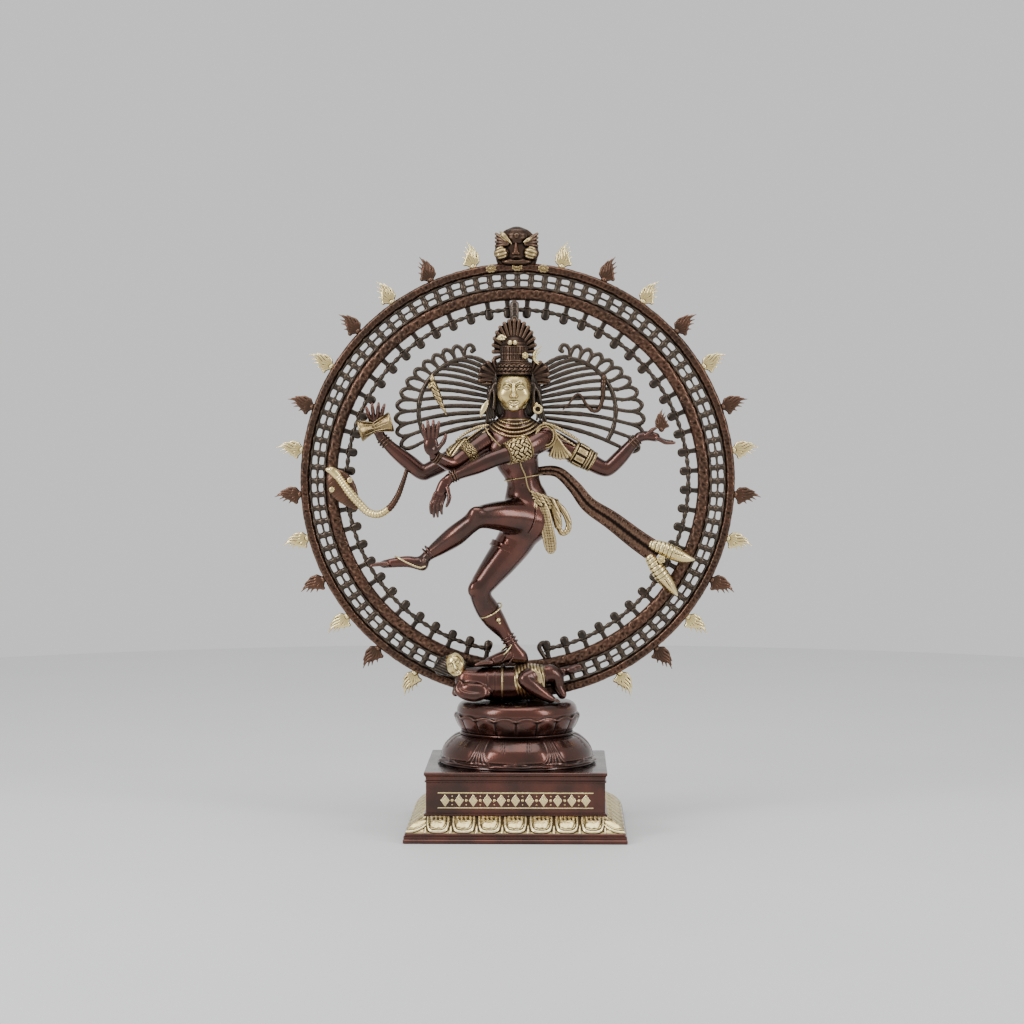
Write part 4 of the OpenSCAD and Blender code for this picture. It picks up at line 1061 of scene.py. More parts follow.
def demon():
    clay = Clay((-112, -70, 186), (102, 26, 256), 1.0)
    trunk = [
        (-76, -22, 226, 17), (-58, -21, 221, 23), (-30, -20, 219, 26), (-4, -19, 219, 26), (20, -18, 221, 24)
    ]
    clay.limb(trunk, 0, 8, 1.0)
    clay.lump((-62, -43, 213), (23, 10, 11), 3, 4)
    clay.limb([
        (-44, -45, 207, 7), (-62, -50, 203, 8), (-79, -49, 206, 7), (-87, -45, 213, 6.5), (-84, -42, 222, 5)
    ], 3, 8)
    clay.limb([(-72, -2, 226, 10), (-86, -2, 214, 8), (-92, -8, 204, 6)], 3)
    clay.limb([
        (24, -34, 232, 16), (13, -45, 228, 12), (26, -47, 216, 11.5), (40, -47, 206, 9), (51, -46, 199, 6.5)
    ], 3)
    clay.limb(
        [(26, -8, 226, 17), (46, -6, 232, 15.5), (58, -6, 228, 12), (62, -8, 213, 9), (68, -12, 202, 7)], 3
    )
    clay.limb([(56, 2, 230, 9), (72, 0, 236, 7), (84, -2, 240, 6), (94, -4, 243, 4)], 3)
    clay.lump((82, -6, 238), (9, 5, 5.5), 2.5)
    clay.dent(lambda x, y, z: 0.7 * bump(np.abs(x + 38), 6, 1.2) * (y < -38))
    for k in range(4):
        finger(clay, (54, -50 + 3 * k, 198), (64, -52 + 3.4 * k, 195), 2.2, (0, 0, 1))
    add_piece("demon_body_cast", clay.form(4), COPPER, "demon_body")


def demon_head():
    hair = Clay((-126, -40, 226), (-76, 10, 264), 0.9)
    hair.limb([(-86, -18, 242, 14), (-102, -16, 246, 16), (-114, -14, 241, 11)], 0)
    hair.dent(lambda x, y, z: 1.1 * np.abs(np.sin(z * 0.75 + 0.3 * x)))
    add_piece("demon_hair", hair.form(), DARK, "demon_head")

    place = Matrix.Translation((-92, -22, 248)) @ turn("Y", -24) @ Matrix.Scale(0.56, 4)
    add_piece("demon_face_cast", face_form(0.8).turned(place), GILT, "demon_face")


def demon_loincloth():
    cloth = Clay((-4, -48, 192), (42, 12, 252), 0.9)
    cloth.limb([(4, -19, 221, 26), (20, -18, 222, 27.3), (31, -18, 223, 25.5)], 0, 4, 1.04)
    cloth.limb([(12, -26, 226, 23), (26, -32, 230, 19.5)], 3)

    def folds(x, y, z):
        return 0.8 * np.abs(np.sin(0.62 * x + 0.16 * z)) ** 3 + 0.7 * bump(x, 31 + 0.1 * (z - 220), 1.4)

    cloth.dent(folds)
    belt = hoop(25.6, 1.7, 90, 8).turned(aimed((-22, -20, 219.5), (-12, -19.7, 219.5)))
    add_piece("demon_loincloth_cast", [cloth.form(), belt], OLD_GILT, "demon_loincloth")


# ---------- crown and hair ----------


def crown_relief(a, share, r):
    """A carved headband under a ribbed tower."""
    z = 681 + share * 57
    band = ramp(z, 683, 684) * ramp(z, 697, 696)
    carved = 1.0 * ramp(np.abs(np.sin(11 * a + 1.4 * np.sin(0.8 * z)) * np.sin(0.55 * z)), 0.1, 0.6)
    tower = ramp(z, 702, 703) * ramp(z, 722, 720)
    ribs = -0.9 * bump(np.abs(np.sin(a * 10)), 0, 0.3)
    rings = sum(0.7 * bump(z, at, 0.8) for at in (682, 698.5, 701, 711, 722, 727))
    rings = rings * (0.6 + 0.4 * np.abs(np.sin(a * 34)))
    return band * (carved - 0.8) + tower * ribs + rings


def headdress():
    rows = [
        (26, 681), (26.8, 683), (27.2, 690), (26.8, 697), (24.5, 699), (21.4, 701), (20.4, 708), (20.6, 720),
        (19, 724)
    ]
    form = turned_sheet(rows + [(16, 729), (13, 734), (8, 738), (1, 739)], crown_relief, 0.75, 300, 1.0)
    add_piece("headdress_carved", form.moved(-4, -22), BARK, "headdress")


def feather_fan():
    clay = Clay((-44, -19, 700), (36, -3, 772), 0.8)
    clay.lump((-4, -10, 727), (31, 2.2, 34), 0.5)
    clay.dent(lambda x, y, z: 3.0 * (z < 717) * (np.abs(x + 4) > 14))
    for k in range(17):
        a = math.radians(mix(-112, 112, k / 16))
        tip = (-4 + 31 * math.sin(a), -11, 706 + 15 + 41 * math.cos(a))
        root = (-4 + 5 * math.sin(a), -11, 715 + 3 * math.cos(a))
        clay.limb([(*root, 1.6), (*mix(np.array(root), np.array(tip), 0.6), 2.6), (*tip, 3.3)], 0.35, 2)
    add_piece("feather_fan_ribs", clay.form(1), BARK, "feather_fan")
    stem = Clay((-13, -14, 728), (5, 18, 794), 0.8)
    stem.limb([(-4, -8, 736, 6.6), (-4, 3, 764, 6.6), (-4, 10, 786, 7)], 0, 2, 0.5)

    def edges_and_links(x, y, z):
        across = np.abs(x + 4)
        return 0.7 * bump(across, 4.4, 0.7) + 0.7 * bump(np.sin(z * 0.9), 1, 0.3) * (across < 3.4)

    stem.dent(edges_and_links)
    add_piece("crest_stem_cast", stem.form(), DARK, "crest_stem")


def crown_ornaments():
    rose = blossom(4.9, 6).turned(FACING_FRONT).moved(13, -44, 709)
    clay = Clay((-34, -50, 718), (6, -32, 744), 0.6)
    clay.limb([(-29, -39, 734, 1.2), (-23, -41, 737, 3.4), (-16, -41, 736, 1.5)], 0, 3)
    clay.limb([(-27, -40, 733, 1), (-21, -42, 733.5, 2.4), (-17, -41, 733, 1)], 0.5, 3)
    for x in (-9.6, -2.2):
        clay.lump((x, -42, 728), (3.9, 3.9, 4.1), 0.3)
        clay.lump((x, -45.6, 728), (1.4, 1.4, 1.4), 0.3)
    add_piece("crown_ornaments_cast", [rose, clay.form()], GILT, "crown_ornaments")
    moon = [
        (37, -31, 723.5, 0.5), (29.5, -32, 717, 1.5), (25.4, -32, 709, 2.4), (26.4, -32, 702, 1.8),
        (32.5, -31, 696, 0.5)
    ]
    tail = [(36, -31, 716, 0.6), (30, -32, 711, 1.0), (28, -32, 704, 1.0), (33, -31, 699, 0.6)]
    add_piece("crescent_moon_cast", [tube(moon, 12), tube(tail, 8)], GILT, "crescent_moon")


def side_leaves():
    clay = Clay((-62, -20, 662), (54, -4, 712), 0.75)
    for s in (-1, 1):
        clay.lump((s * 38 - 4, -12, 685), (15, 2.4, 15), 0.5)
        tips = ((50, 672), (49, 681), (45, 691), (38, 698), (30, 701))
        for x, z in tips:
            rows = [
                (24, -12, 676, 2), (mix(24, x, 0.5), -12, mix(678, z, 0.55), 2.8), (x, -12, z, 3.8),
                (x + 2, -12, z + 1.5, 2)
            ]
            clay.limb([(s * r[0] - 4, *r[1:]) for r in rows], 0.4, 3)
        for z in (667, 672, 677):
            clay.limb([(s * 24 - 4, -13, z, 2), (s * 47 - 4, -13, z + 1, 1.7)], 0.3, 1)
    add_piece("side_leaves_cast", clay.form(1), BARK, "side_leaves")


def ear_ornaments():
    leaf = Clay((-60, -36, 612), (-38, -24, 648), 0.6)
    leaf.limb(
        [(-43, -30, 642, 1.6), (-47, -31, 634, 4.4), (-51, -31, 626, 3.8), (-54, -30, 617, 0.6)], 0, 4, 0.5
    )
    leaf.limb([(-44, -33.6, 640, 0.5), (-48, -34.6, 631, 0.6), (-53, -32.5, 619, 0.5)], 0.8, 3, carve=True)
    ring = hoop(5.5, 2.1, 48, 12).turned(FACING_FRONT).moved(31.4, -30, 629.5)
    stud = bead(2.4, (29.5, -30, 637.5))
    add_piece("ear_ornaments_cast", [leaf.form(), ring, stud], GILT, "ear_ornaments")


LOCKS = 12
FAN_X, FAN_Z = 60, 630  # the middle of a hair fan
FAN_TOP, FAN_FOOT = 14, 121  # its two ends in degrees from straight up


def fan_point(t, r):
    """Point of a hair fan at turn t from its top to its lower end, at a radius."""
    a = math.radians(mix(FAN_TOP, FAN_FOOT, t))
    return np.array((FAN_X + r * math.sin(a), FAN_Z + r * math.cos(a)))


def hair_fan(side, reach):
    """Wavy locks behind an arched band, with a scalloped row of loops outside it."""
    rng = np.random.default_rng(21 if side > 0 else 22)
    forms, ends = [], []

    def add(points, radii, n=6, sides=8):
        rows = smooth_path([(p[0], 6, p[1], r) for p, r in zip(points, radii)], n)
        rows[:, 3] *= 1 + 0.06 * rng.standard_normal(len(rows))
        rows[:, 0] *= side
        forms.append(tube(rows, sides, 0.95, n=0))

    def loop_r(t):
        return mix(99, reach, ramp(t, 0, 1))

    for k in range(LOCKS):
        t = k / (LOCKS - 1)
        root = np.array((mix(32, 34, t), mix(689, 611, t)))
        far = fan_point(t, loop_r(t) - mix(18, 27, t))
        points = [mix(root, far, u) + (0, bow) for u, bow in ((0, 0), (0.25, 3), (0.5, 5), (0.75, 4), (1, 0))]
        add(points, [2.8, 3.4, 3.5, 3.2, 2.8])
        ends.append(far)
    for k in range(LOCKS - 1):
        a, b = ends[k], ends[k + 1]
        t = (k + 0.5) / (LOCKS - 1)
        peak = fan_point(t, loop_r(t))
        rise = peak - mix(a, b, 0.5)
        out, side_step = unit(rise), (a - b) / 2
        left = [a - out * 3, a + rise * 0.35 + side_step * 0.05, peak - rise * 0.22 + side_step * 0.82]
        right = [peak - rise * 0.22 - side_step * 0.82, b + rise * 0.35 - side_step * 0.05, b - out * 3]
        add(left + [peak] + right, [2.5, 3.0, 3.2, 3.3, 3.2, 3.0, 2.5], 5)
    arch = [fan_point(u, mix(78, 89, math.sin(u * math.pi / 2))) for u in np.linspace(0, 1, 12)]
    add(arch, [3.6] * 12)
    hook = [
        ends[0] - (0, 3), ends[0] + (-1, 9), ends[0] + (-5, 16), ends[0] + (-11, 17), ends[0] + (-15, 11),
        ends[0] + (-12, 8)
    ]
    add(hook, [2.6, 2.9, 3.0, 3.1, 3.4, 3.6])
    return joined(forms)


def hair_fans():
    add_piece("hair_fan_left_locks", hair_fan(-1, 127), DARK, "hair_fan_left")
    add_piece("hair_fan_right_locks", hair_fan(1, 136), DARK, "hair_fan_right")
    lady = Clay((-140, -12, 614), (-98, 10, 684), 0.6)
    lady.limb([
        (-126, -1, 667, 5.4), (-122, -1, 657, 6.4), (-118, -1, 647, 5.6), (-113, 0, 636, 3.8),
        (-106, 1, 622, 1.4)
    ], 0)
    lady.lump((-127, -2, 675), (4.2, 4, 4.6), 0.8)
    lady.lump((-127.5, -2, 679.5), (2, 2, 2.4), 0.6)
    lady.limb([(-131, -1, 668, 1.8), (-132, -6, 662, 1.7), (-127, -8, 665, 1.8)], 0.6, 2)
    lady.limb([(-121, -1, 666, 1.8), (-121, -6, 660, 1.7), (-126, -8, 665, 1.8)], 0.6, 2)
    lady.dent(lambda x, y, z: 0.7 * bump(np.sin((z + 0.5 * x) * 0.95), 1, 0.25) * (z < 660))
    add_piece("river_goddess_cast", lady.form(), OLD_GILT, "river_goddess")
    rows = [
        (130, -1, 676, 4.4), (129, -2, 664, 4.2), (128, -1, 645, 3.4), (122, 0, 629, 3.0), (112, 0, 628, 2.8)
    ]
    rows = smooth_path(rows + [
        (103, 0, 638, 2.5), (94, 0, 651, 2.2), (86, 0, 649, 1.9), (78, 0, 638, 1.5), (69, 0, 629, 0.9)
    ], 10)
    rows[:, 3] *= 1 + 0.06 * np.sin(np.arange(len(rows)) * 1.6)
    snout = bead(4.6, (130, -3, 677))
    add_piece("hair_snake_cast", [tube(rows, 10, n=0), snout], BARK, "hair_snake")


# ---------- things held ----------


def drum():
    rows = [
        (0.2, 0), (14.6, 0.2), (16.2, 1.2), (16.5, 3), (15.6, 4.4), (13.8, 8), (9.5, 15), (6.4, 21.5),
        (7.4, 22.6), (7.2, 24.8), (6, 26), (7.4, 30), (10.6, 37), (13.4, 44), (15, 47.2), (15.2, 49),
        (14.2, 50.8), (12.6, 51), (0.2, 50.6)
    ]

    def flutes(a, z):
        return 0.35 * np.abs(np.sin(a * 7)) * ramp(z, 3, 8) * ramp(z, 48, 42)

    forms = [lathe(smooth_path(rows, 3), 56, ripple=flutes)]
    for k in range(10):
        a, b = math.radians(36 * k), math.radians(36 * k + 18)
        low = (15.6 * math.cos(a), 15.6 * math.sin(a), 3, 0.6)
        waist = (7.4 * math.cos(b), 7.4 * math.sin(b), 24, 0.7)
        rub_glint_mask = (14.6 * math.cos(a), 14.6 * math.sin(a), 48, 0.6)
        forms += [tube(lace, 6, n=0, across=(0, 0, 1)) for lace in ([low, waist], [waist, rub_glint_mask])]
    add_piece(
        "drum_cast", [f.turned(aimed((-236, -16, 597), (-187, -12, 611))) for f in forms], OLD_GILT, "drum"
    )


def hand_flame():
    flame = flame_form().turned(Matrix.Scale(0.8, 4)).moved(216, -10, 597)
    add_piece("hand_flame_cast", flame, RIM, "hand_flame")


def cobra():
    rows = [
        (-163, 2, 548, 3), (-168, 1, 530, 3.4), (-173, 0, 515, 3.9), (-180, 0, 498, 4.6),
        (-191, -1, 482, 5.2), (-207, -2, 472, 5.6), (-223, -2, 475, 6), (-237, -2, 488, 6.4),
        (-250, -3, 503, 6.8), (-261, -3, 518, 6.6), (-270, -3, 530, 6)
    ]
    rows = smooth_path(rows, 22)
    rows[:, 3] *= 1 + 0.075 * np.sin(np.arange(len(rows)) * 2 * math.pi / 5.5)
    tail = len(rows) * 5 // 12
    head = Clay((-294, -14, 518), (-258, 10, 552), 0.6)
    head.limb([(-270, -3, 530, 6.6), (-277, -4, 537, 6.4), (-284, -4, 539, 3.6)], 0, 3, 0.85)
    for y in (-9.4, 1.6):
        head.lump((-277, y, 540), (2, 1.5, 1.7), 0.4)
    head.limb([(-290, -9, 536.6, 0.6), (-280, -11, 535, 0.6), (-274, -10, 533, 0.5)], 0.3, 2, carve=True)
    add_piece("arm_cobra_body", [tube(rows[tail:], 14, 0.9, n=0), head.form()], GILT, "arm_cobra")
    add_piece("arm_cobra_tail", tube(rows[: tail + 2], 14, 0.9, n=0), RIM)
    hood = Clay((-298, -8, 468), (-234, 12, 552), 0.75)
    hood.limb([
        (-243, 1, 484, 6), (-252, 1, 497, 14), (-262, 1, 511, 20), (-269, 1, 521, 18), (-274, 1, 531, 9)
    ], 0, 5, 0.3)
    hood.dent(lambda x, y, z: 0.5 * bump(np.sin((z - 0.75 * x) * 0.7), 1, 0.3))
    add_piece("arm_cobra_hood", hood.form(), RIM)
    spots = [(-278, 509, 4.4), (-251, 523, 4.4), (-247, 499, 3.0)]
    spots = [dome(r, 1.6).turned(Matrix.Translation((x, -4.4, z)) @ FACING_FRONT) for x, z, r in spots]
    add_piece("arm_cobra_spots", spots, GILT)


# ---------- jewellery ----------


def sleeve(a, b, r0, r1, relief, step=0.8, around=130):
    """A broad carved band round the line from a to b."""
    long = math.dist(a, b)
    rows = [
        (r0 * 0.6, 0), (r0 + 0.9, 0.3), (r0 + 1.2, 1.2), (r0 + 0.6, 2.4), (mix(r0, r1, 0.5) + 1.2, long / 2),
        (r1 + 0.6, long - 2.4), (r1 + 1.2, long - 1.2), (r1 + 0.9, long - 0.3), (r1 * 0.6, long)
    ]
    return turned_sheet(rows, relief, step, around, 1.0).turned(aimed(a, b))


def scrolls(a, share, r):
    """Curls and leaves between two borders."""
    u, v = a * 8, share * 5 * math.pi
    field = np.sin(u + 1.5 * np.sin(v)) * np.sin(v + 0.8 * np.sin(u))
    curls = 1.6 * ramp(np.abs(field), 0.05, 0.6) * ramp(share, 0.06, 0.12) * ramp(share, 0.94, 0.88)
    return curls + 0.5 * bump(share, 0.5, 0.03)


def slots(a, share, r):
    """Long slots between raised bands."""
    bars = 1.4 * ramp(np.abs(np.sin(a * 4)), 0.45, 0.6) * ramp(share, 0.14, 0.2) * ramp(share, 0.62, 0.56)
    rings = sum(1.2 * bump(share, at, 0.03) for at in (0.08, 0.68, 0.78, 0.92))
    return bars + rings * (0.75 + 0.25 * np.sin(a * 40))


def feather(a, share, r):
    """Overlapping barbed leaves."""
    barb = np.abs(np.sin(a * 7 + 9 * share)) * (0.7 + 0.3 * np.abs(np.sin(share * 40)))
    return 1.4 * barb**0.7 * ramp(share, 0.06, 0.14) * ramp(share, 0.94, 0.86)


def armlets():
    forms = [
        sleeve((-64, -8, 575), (-98, -2, 556), 17.4, 15.6, feather),
        sleeve((17, -44, 574), (-16, -60, 563), 17.2, 14.6, scrolls, 0.55, 220),
        sleeve((83, -3, 567), (114, 0, 550), 16.4, 14.6, slots),
        sleeve((-66, -37, 567.5), (-78, -44, 559), 14.8, 13.6, scrolls, 0.45, 200),
    ]
    add_piece("armlets_carved", forms, OLD_GILT, "armlets")


def banded(a, b, r, wires, beads=0):
    """Wire rings side by side round the line from a to b, each given as share, gauge."""
    place = aimed(a, b)
    long = math.dist(a, b)
    return [hoop(r, wire, 60, 8, beads).moved(z=share * long).turned(place) for share, wire in wires]


def bracelets():
    wires = [(0, 1.3), (0.4, 1.7), (0.8, 1.3)]
    wrists = (
        ((-195, -6, 578), (-203, -8, 587), 8.6), ((-115, -67, 557), (-122, -72, 561), 8.2),
        ((-88, -71, 533), (-97, -71, 529), 8.4), ((173, -5, 578), (181, -6, 586), 8.6),
    )
    forms = [ring for a, b, r in wrists for ring in banded(a, b, r, wires)]
    add_piece("bracelets_wound", forms, RIM, "bracelets")


def anklets():
    gold = [hoop(18.6, 1.3, 80, 8, 30).turned(aimed((-39, -22, 329), (-31, -17, 315)))]
    gold.append(bead(3.4, (-27, -38, 316)))
    gold.append(bead(1.8, (-25, -37.5, 311)))
    chain = [
        (-134, -66, 398, 1.2), (-142, -69, 396, 1.3), (-158, -70, 402, 1.3), (-172, -69, 409, 1.2),
        (-179, -62, 412, 1.0)
    ]
    chain = smooth_path(chain, 12)
    chain[:, 3] *= 0.7 + 0.6 * np.abs(np.sin(np.arange(len(chain)) * 1.2))
    gold.append(tube(chain, 8, n=0))
    gold += banded((-16, -19, 271), (-10, -17, 266), 12.6, [(0, 1.4)], 24)
    add_piece("anklets_gilt", gold, GILT, "anklets")
    plain = banded((-14, -16, 289), (-7, -15, 277), 9.9, [(0, 1.5), (0.4, 1.8), (0.85, 1.5)])
    plain += banded((-20, -21, 262), (-14, -18, 258), 13, [(0, 1.3), (1.2, 1.1)])
    garter = [(22, 0), (25.2, 0.4), (26, 1.4), (25.4, 2.6), (25.4, 7.4), (26, 8.6), (25.2, 9.6), (22, 10)]
    plain.append(lathe(garter, 80).turned(aimed((-14, -20, 424), (-20, -22, 413))))
    plain += banded((-128, -60, 419), (-134, -60, 414), 10.2, [(0, 1.6), (0.7, 1.0)])
    plain += [hoop(29.2, 1.1, 90, 8).turned(aimed((12, -29, 466.5), (6, -33, 468.5)))]
    add_piece("anklets_copper", plain, COPPER)


def necklaces():
    a = circle(240)
    forms = [hoop(20.5, 1.4, 90, 8).moved(-3, -19, 614)]
    for k, beads in enumerate((0, 38, 0, 52, 0)):
        dip = np.maximum(np.sin(a), 0) ** 1.5
        x, y = -3 + (19 + 4.6 * k) * np.cos(a), -18 - (18 + 4 * k) * np.sin(a)
        z = 617 - 2.6 * k - (3 + 3.6 * k) * dip
        swell = 1.8 * (0.6 + 0.4 * np.abs(np.sin(a * beads / 2))) if beads else 1.3 + 0.25 * np.sin(a * 70)
        forms.append(tube(np.stack([x, y, z, swell + 0 * a], 1), 8, n=0, across=(0, 0, 1), closed=True))
    forms.append(
        tube([(-47, -30, 604, 1.2), (-42, -40, 594, 1.3), (-33, -44, 584, 1.3), (-24, -47, 575, 1.2)], 8)
    )
    forms.append(tube([(38, -32, 606, 1.1), (30, -42, 596, 1.2), (27, -44, 584, 1.2)], 8))
    add_piece("necklaces_strung", forms, OLD_GILT, "necklaces")


def waist_cord():
    place = Matrix.Translation((9.6, -18, 528)) @ turn("Y", -10)
    belt = hoop(28.4, 1.1, 90, 8, squash=0.84).turned(place)
    thread = [
        (5, -46, 552, 1.2), (8, -45, 543, 1.2), (13, -42, 531, 1.2), (17, -40, 514, 1.2), (24, -39, 504, 1.2),
        (38, -36, 500, 1.2)
    ]
    add_piece("waist_cord_laid", [belt, tube(thread, 8)], OLD_GILT, "waist_cord")


def waist_cloth():
    clay = Clay((16, -50, 410), (86, -12, 512), 0.75)
    for k in range(4):
        clay.limb([
            (22 + 2 * k, -41, 507 - 4.5 * k, 2.6), (40, -38, 500 - 4.5 * k, 3.6),
            (60 + k, -22, 493 - 4 * k, 3)
        ], 0.4, 4)
    clay.limb([
        (34, -38, 496, 6.5), (41, -39, 476, 9), (46, -39, 450, 9.8), (50, -37, 430, 9.8), (51, -36, 422, 8)
    ], 0.6, 5, 0.42)
    clay.limb([(52, -30, 492, 6), (59, -30, 472, 7.4), (62, -30, 456, 6)], 0.5, 4, 0.6)
    clay.limb([
        (58, -26, 490, 4.6), (70, -25, 478, 4.8), (77, -25, 462, 4.8), (76, -26, 449, 4.6),
        (68, -27, 445, 4.4), (63, -28, 452, 4)
    ], 0.4, 5, 0.8)
    clay.limb([(30, -41, 492, 3), (27, -44, 478, 4), (31, -43, 464, 3)], 0.5, 3, 0.6)

    def border(x, y, z):
        u = np.abs(x - np.interp(z, (422, 450, 476, 496), (51, 46.5, 41, 34)).astype(np.float32))
        hem = 0.9 * bump(u, 6.2, 0.9) + 0.8 * np.abs(np.sin(z * 0.8) * np.sin(u * 0.95)) * (u < 5)
        folds = 0.6 * bump(np.sin((x + 0.6 * z) * 0.8), 1, 0.35)
        return mix(folds, hem, (z < 486) * (x < 58))

    clay.dent(border)
    add_piece("waist_cloth_cast", clay.form(1), OLD_GILT, "waist_cloth")


def tassels():
    clay = Clay((-96, -46, 546), (104, -4, 618), 0.85)
    clay.limb([(40, -26, 609, 2.4), (58, -26, 603, 3), (74, -21, 594, 3.4), (92, -13, 583, 2.4)], 0, 4, 0.9)
    clay.limb([(44, -30, 604, 1.7), (58, -30, 595, 2), (71, -26, 585, 2.2), (86, -18, 576, 1.8)], 0.5, 4)
    clay.limb([(50, -31, 598, 1.6), (60, -32, 588, 1.9), (66, -30, 578, 1.7)], 0.5, 4)
    clay.limb(
        [(-44, -28, 606, 2.4), (-60, -26, 602, 3), (-76, -18, 594, 2.6), (-92, -9, 582, 1.8)], 0.5, 4, 0.9
    )
    clay.limb([(-42, -32, 600, 1.6), (-54, -32, 591, 1.8), (-60, -30, 580, 1.6)], 0.5, 4)
    clay.limb([(-48, -29, 604, 1.6), (-62, -27, 594, 2), (-74, -22, 584, 1.8)], 0.5, 4)
    clay.dent(lambda x, y, z: 0.7 * np.abs(np.sin(0.8 * x + 0.2 * z)) ** 2 * (z > 576))
    for k in range(7):
        x = mix(50, 80, k / 6)
        clay.limb([
            (60, -30, 588, 2.4), (mix(60, x, 0.5), -31, 573, 2.4),
            (x, -29, 557 + 0.16 * (x - 65) ** 2 * 0.12, 2.8)
        ], 0.3, 3)
    forms = [clay.form(1)]
    for r, wire, y in ((15.4, 1.5, -38), (12.2, 0.9, -41.5)):
        forms.append(hoop(r, wire, 72, 8, squash=1.14).turned(turn("X", 84)).moved(43, y, 590))
    add_piece("shoulder_tassels_cast", forms, OLD_GILT, "shoulder_tassels")


# ---------- stole ----------


def ribbon(path, y, half_t, relief):
    """A thick flat band through x, z, width, with relief(arc length, place across, front) raised on it."""
    rows = close_rows(smooth_path(path, 8), 1.2)
    p, half = rows[:, :2], rows[:, 2] / 2
    d = np.gradient(p, axis=0)
    d /= np.linalg.norm(d, axis=1)[:, None]
    s = np.concatenate([[0], np.cumsum(np.linalg.norm(np.diff(p, axis=0), axis=1))])
    b = circle(40)[:, None]
    w, t = np.cos(b), np.sin(b)
    w, t = squared(w, 0.6), squared(t, 0.8)
    shape = (len(b), len(rows))
    x, z = p[:, 0] - d[:, 1] * half * w, p[:, 1] + d[:, 0] * half * w
    grid = np.stack([x, np.broadcast_to(y - half_t * t, shape), z], -1)
    out = np.stack([-d[:, 1] * np.cos(b), np.broadcast_to(-np.sin(b), shape), d[:, 0] * np.cos(b)], -1)
    return embossed(grid, out, relief(s[None], np.broadcast_to(w, shape), np.abs(np.sin(b))), False, 4)


def stole_relief(s, w, face):
    groove = -2.6 * bump(w, 0, 0.07)
    borders = 0.5 * (bump(np.abs(w), 0.9, 0.06) + bump(np.abs(w), 0.14, 0.05))
    return (groove + borders + 0.8 * vine(s, (np.abs(w) - 0.52) * 2.4, face, 19.0)) * ramp(face, 0.3, 0.7)


def stole_head(rows, hinge):
    """A monster's head on an end of the stole: a ringed neck, a cut mouth, and beads on each side of it."""
    way = unit(np.array(rows[-1][:3:2], float) - np.array(rows[0][:3:2]))

    def rings(x, y, z):
        along = (x - hinge[0]) * way[0] + (z - hinge[1]) * way[1]
        return 0.8 * bump(np.sin(along * 0.95), 1, 0.4) * (along < 2)

    clay = Clay((192, -15, 342), (274, 15, 436), 0.8)
    clay.limb(rows, 0, 6, 0.95)
    clay.dent(rings)
    mouth = []
    for k in (6, 16, 28, 36):
        mouth.append((hinge[0] + way[0] * k, -10.5 + 0.05 * k * k / 10, hinge[1] + way[1] * k, 0.9))
    clay.limb(mouth, 0.6, 3, carve=True)
    for k in range(4):
        x, z = hinge[0] + way[0] * (5 + 4.4 * k), hinge[1] + way[1] * (5 + 4.4 * k)
        for side in (-1, 1):
            clay.lump((x + side * way[1] * 4, -9 + 0.8 * k, z - side * way[0] * 4), (1.6, 1.6, 1.6), 0.3)
    return clay.form()


def stole():
    path = [(14, 532, 10), (36, 537, 14), (62, 535, 17), (86, 513, 20), (108, 486, 24), (142, 463, 28)]
    add_piece(
        "stole_chased", ribbon(path + [(180, 434, 31), (212, 412, 33)], 1, 4.2, stole_relief), RIM, "stole"
    )
    upper = [(204, 1, 426, 8), (216, 0, 422, 10.6), (230, 0, 416, 11.6), (244, 0, 410, 10), (256, 0, 406, 6)]
    lower = [(200, 1, 406, 8), (208, 0, 394, 10.6), (217, 0, 381, 11.6), (226, 0, 369, 10), (234, 0, 359, 6)]
    forms = [stole_head(upper + [(267, 0, 404, 1)], (231, 416))]
    forms.append(stole_head(lower + [(241, 0, 350, 1)], (218, 380)))
    forms.append(blossom(6.6, 5).turned(FACING_FRONT).moved(216, -9.5, 405))
    add_piece("stole_heads_cast", forms, GILT, "stole_heads")


# ---------- mask at the top of the ring ----------


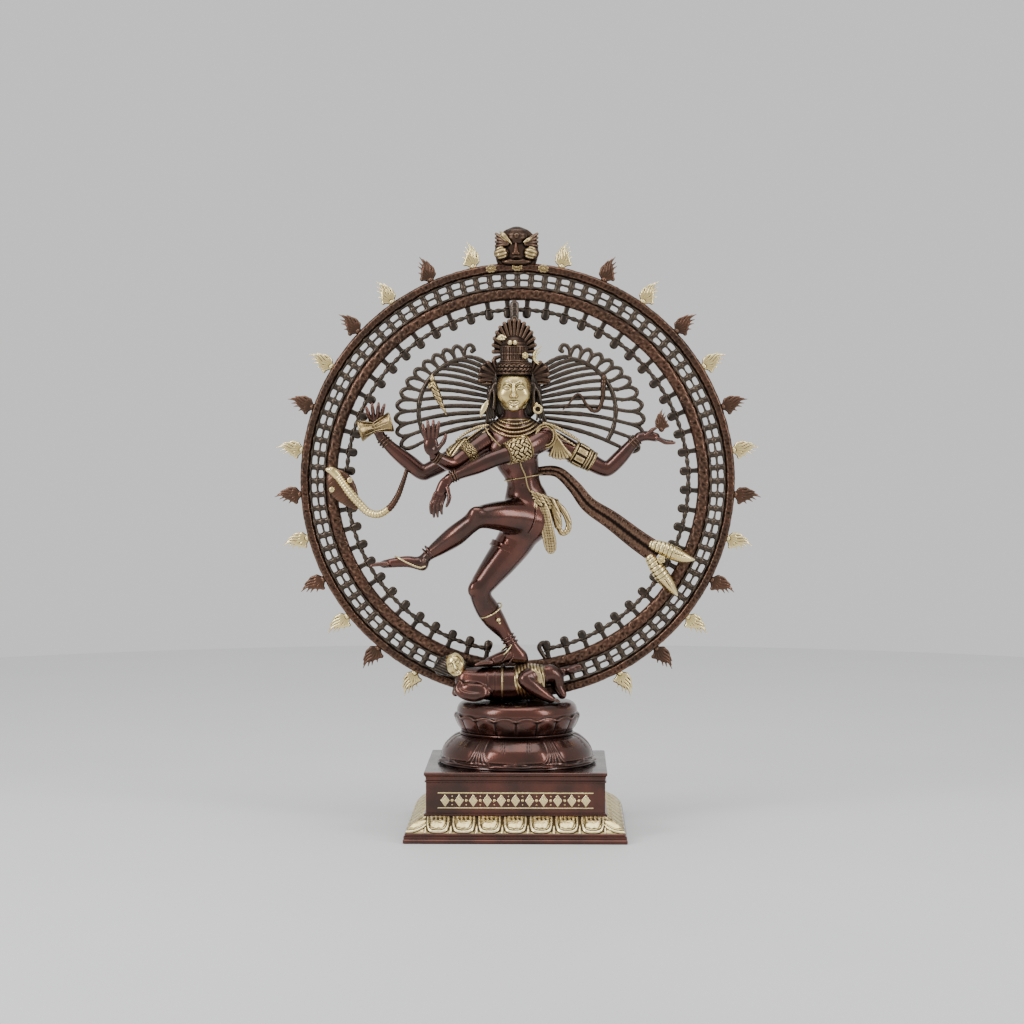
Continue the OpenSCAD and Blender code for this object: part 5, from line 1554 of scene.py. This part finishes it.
def monster_mask():
    y = RING_Y
    clay = Clay((-42, y - 24, 842), (40, y + 22, 911), 0.85)
    clay.limb([(-1, y, 850, 26), (-1, y, 862, 32), (-1, y, 872, 32), (-1, y, 878, 24)], 0, 4, 0.36)
    clay.lump((-1, y - 2, 889), (18, 14, 15), 2)
    clay.lump((-1, y - 15.5, 890), (4.4, 3, 4.4), 0.8)
    clay.lump((-1, y - 8, 851), (22, 8, 6), 2)
    clay.lump((-1, y - 15, 856), (10, 5, 3), 1, carve=True)
    for s in (-1, 1):
        clay.lump((s * 22 - 1, y - 7, 864), (12, 8, 11), 2)
        for k in range(4):
            near, far = (s * 13 - 1, y - 13, 881 - 1.5 * k), (s * 31 - 1, y - 5, 893 - 6 * k)
            clay.limb([(*near, 1.6), (*mix(np.array(near), np.array(far), 0.55), 3.0), (*far, 2.2)], 0.5, 3)
    clay.dent(lambda x, y, z: 0.5 * np.abs(np.sin(0.5 * z)) * (np.abs(x + 1) < 15) * (z > 878))
    add_piece("monster_mask_cast", clay.form(1), BARK, "monster_mask", body="aureole")
    nose = Clay((-14, y - 30, 854), (12, y - 6, 882), 0.6)
    nose.limb([(-2, y - 12, 878, 2.4), (-2, y - 15, 871, 3.2), (-2, y - 16, 865, 4.4)], 0.8, 3)
    for s in (-1, 1):
        nose.lump((s * 3.6 - 2, y - 15.5, 863), (2.8, 3, 2.6), 0.8)
    add_piece("monster_mask_nose", nose.form(1), RIM, body="aureole")
    gold = Clay((-42, y - 26, 844), (40, y + 4, 908), 0.65)
    for s in (-1, 1):
        gold.lump((s * 22 - 2, y - 13, 864), (10, 6, 10), 0.6)
    gold.dent(lambda x, y, z: 0.9 * np.abs(np.sin(0.55 * z + 0.16 * np.abs(x + 2))) ** 2)
    gold.limb([
        (-26, y - 9, 896, 1), (-21, y - 13, 891, 3.4), (-15, y - 14, 885, 3.0), (-8, y - 15, 877, 0.6)
    ], 0.5, 4)
    gold.limb([(-26, y - 11, 890, 0.8), (-20, y - 13, 885, 2), (-14, y - 14, 881, 0.8)], 0.5, 3)
    gold.limb([(22, y - 11, 887, 1), (16, y - 14, 883, 3.2), (10, y - 15, 880, 1.2)], 0.5, 3)
    add_piece("monster_mask_gilt", gold.form(1), OLD_GILT, body="aureole")


# ---------- camera, light and floor ----------


def pale_floor():
    n = Nodes("studio_floor")
    place = n.add("ShaderNodeTexCoord").outputs["Object"]
    tone = n.blend(n.noise(place, 3.0), (0.7, 0.71, 0.71, 1), (0.76, 0.76, 0.76, 1))
    n.tree.links.new(tone, n.shader.inputs["Base Color"])
    n.shader.inputs["Roughness"].default_value = 0.55
    bpy.ops.mesh.primitive_circle_add(vertices=128, radius=2.6, fill_type="NGON", location=(0, 0.4, 0))
    floor = bpy.context.object
    floor.name = "studio_floor"
    floor.data.materials.append(n.material)


def softbox(name, place, target, size, watts):
    data = bpy.data.lights.new(name, "AREA")
    data.shape, data.size, data.size_y, data.energy = "RECTANGLE", size[0], size[1], watts
    light = bpy.data.objects.new(name, data)
    light.matrix_world = aimed(place, target, "-Z")
    bpy.context.scene.collection.objects.link(light)


CAMERA_PLACE = (0.0675, -3.75, 0.621)
CAMERA_DROP, CAMERA_TURN = 2.222, 1.146  # degrees below level and to the left
LENS = 87.9
SKY_STRENGTH = 1.35


def studio():
    scene = bpy.context.scene
    scene.world = bpy.data.worlds.new("studio")
    scene.world.use_nodes = True
    sky = scene.world.node_tree.nodes["Background"]
    sky.inputs["Color"].default_value = (0.6, 0.605, 0.6, 1)
    sky.inputs["Strength"].default_value = SKY_STRENGTH
    softbox("window_left", (-1.9, -1.7, 1.7), (0, 0, 0.45), (0.7, 1.8), 42)
    softbox("window_right", (2.1, -1.5, 1.5), (0, 0, 0.4), (0.6, 1.7), 26)
    softbox("overhead", (0, -0.4, 2.8), (0, 0, 0.3), (2.2, 1.8), 34)
    data = bpy.data.cameras.new("camera")
    data.lens = LENS
    camera = bpy.data.objects.new("camera", data)
    camera.location = CAMERA_PLACE
    camera.rotation_euler = (math.radians(90 - CAMERA_DROP), 0, math.radians(CAMERA_TURN))
    scene.collection.objects.link(camera)
    scene.camera = camera


for make in (
    plinth, ornament_band, lotus, aureole,
    body, rear_right_arm, front_right_arm, front_left_arm, rear_left_arm, head,
    demon, demon_head, demon_loincloth,
    headdress, feather_fan, crown_ornaments, side_leaves, ear_ornaments, hair_fans,
    drum, hand_flame, cobra, armlets, bracelets, anklets, necklaces,
    waist_cord, waist_cloth, tassels, stole, monster_mask,
):
    make()
for node, metal_of in (("draw_bolts", STEEL), ("bolt_nuts", STEEL), ("aureole_tenons", RIM)):
    keep_solid(node, metal_of)
pale_floor()
studio()
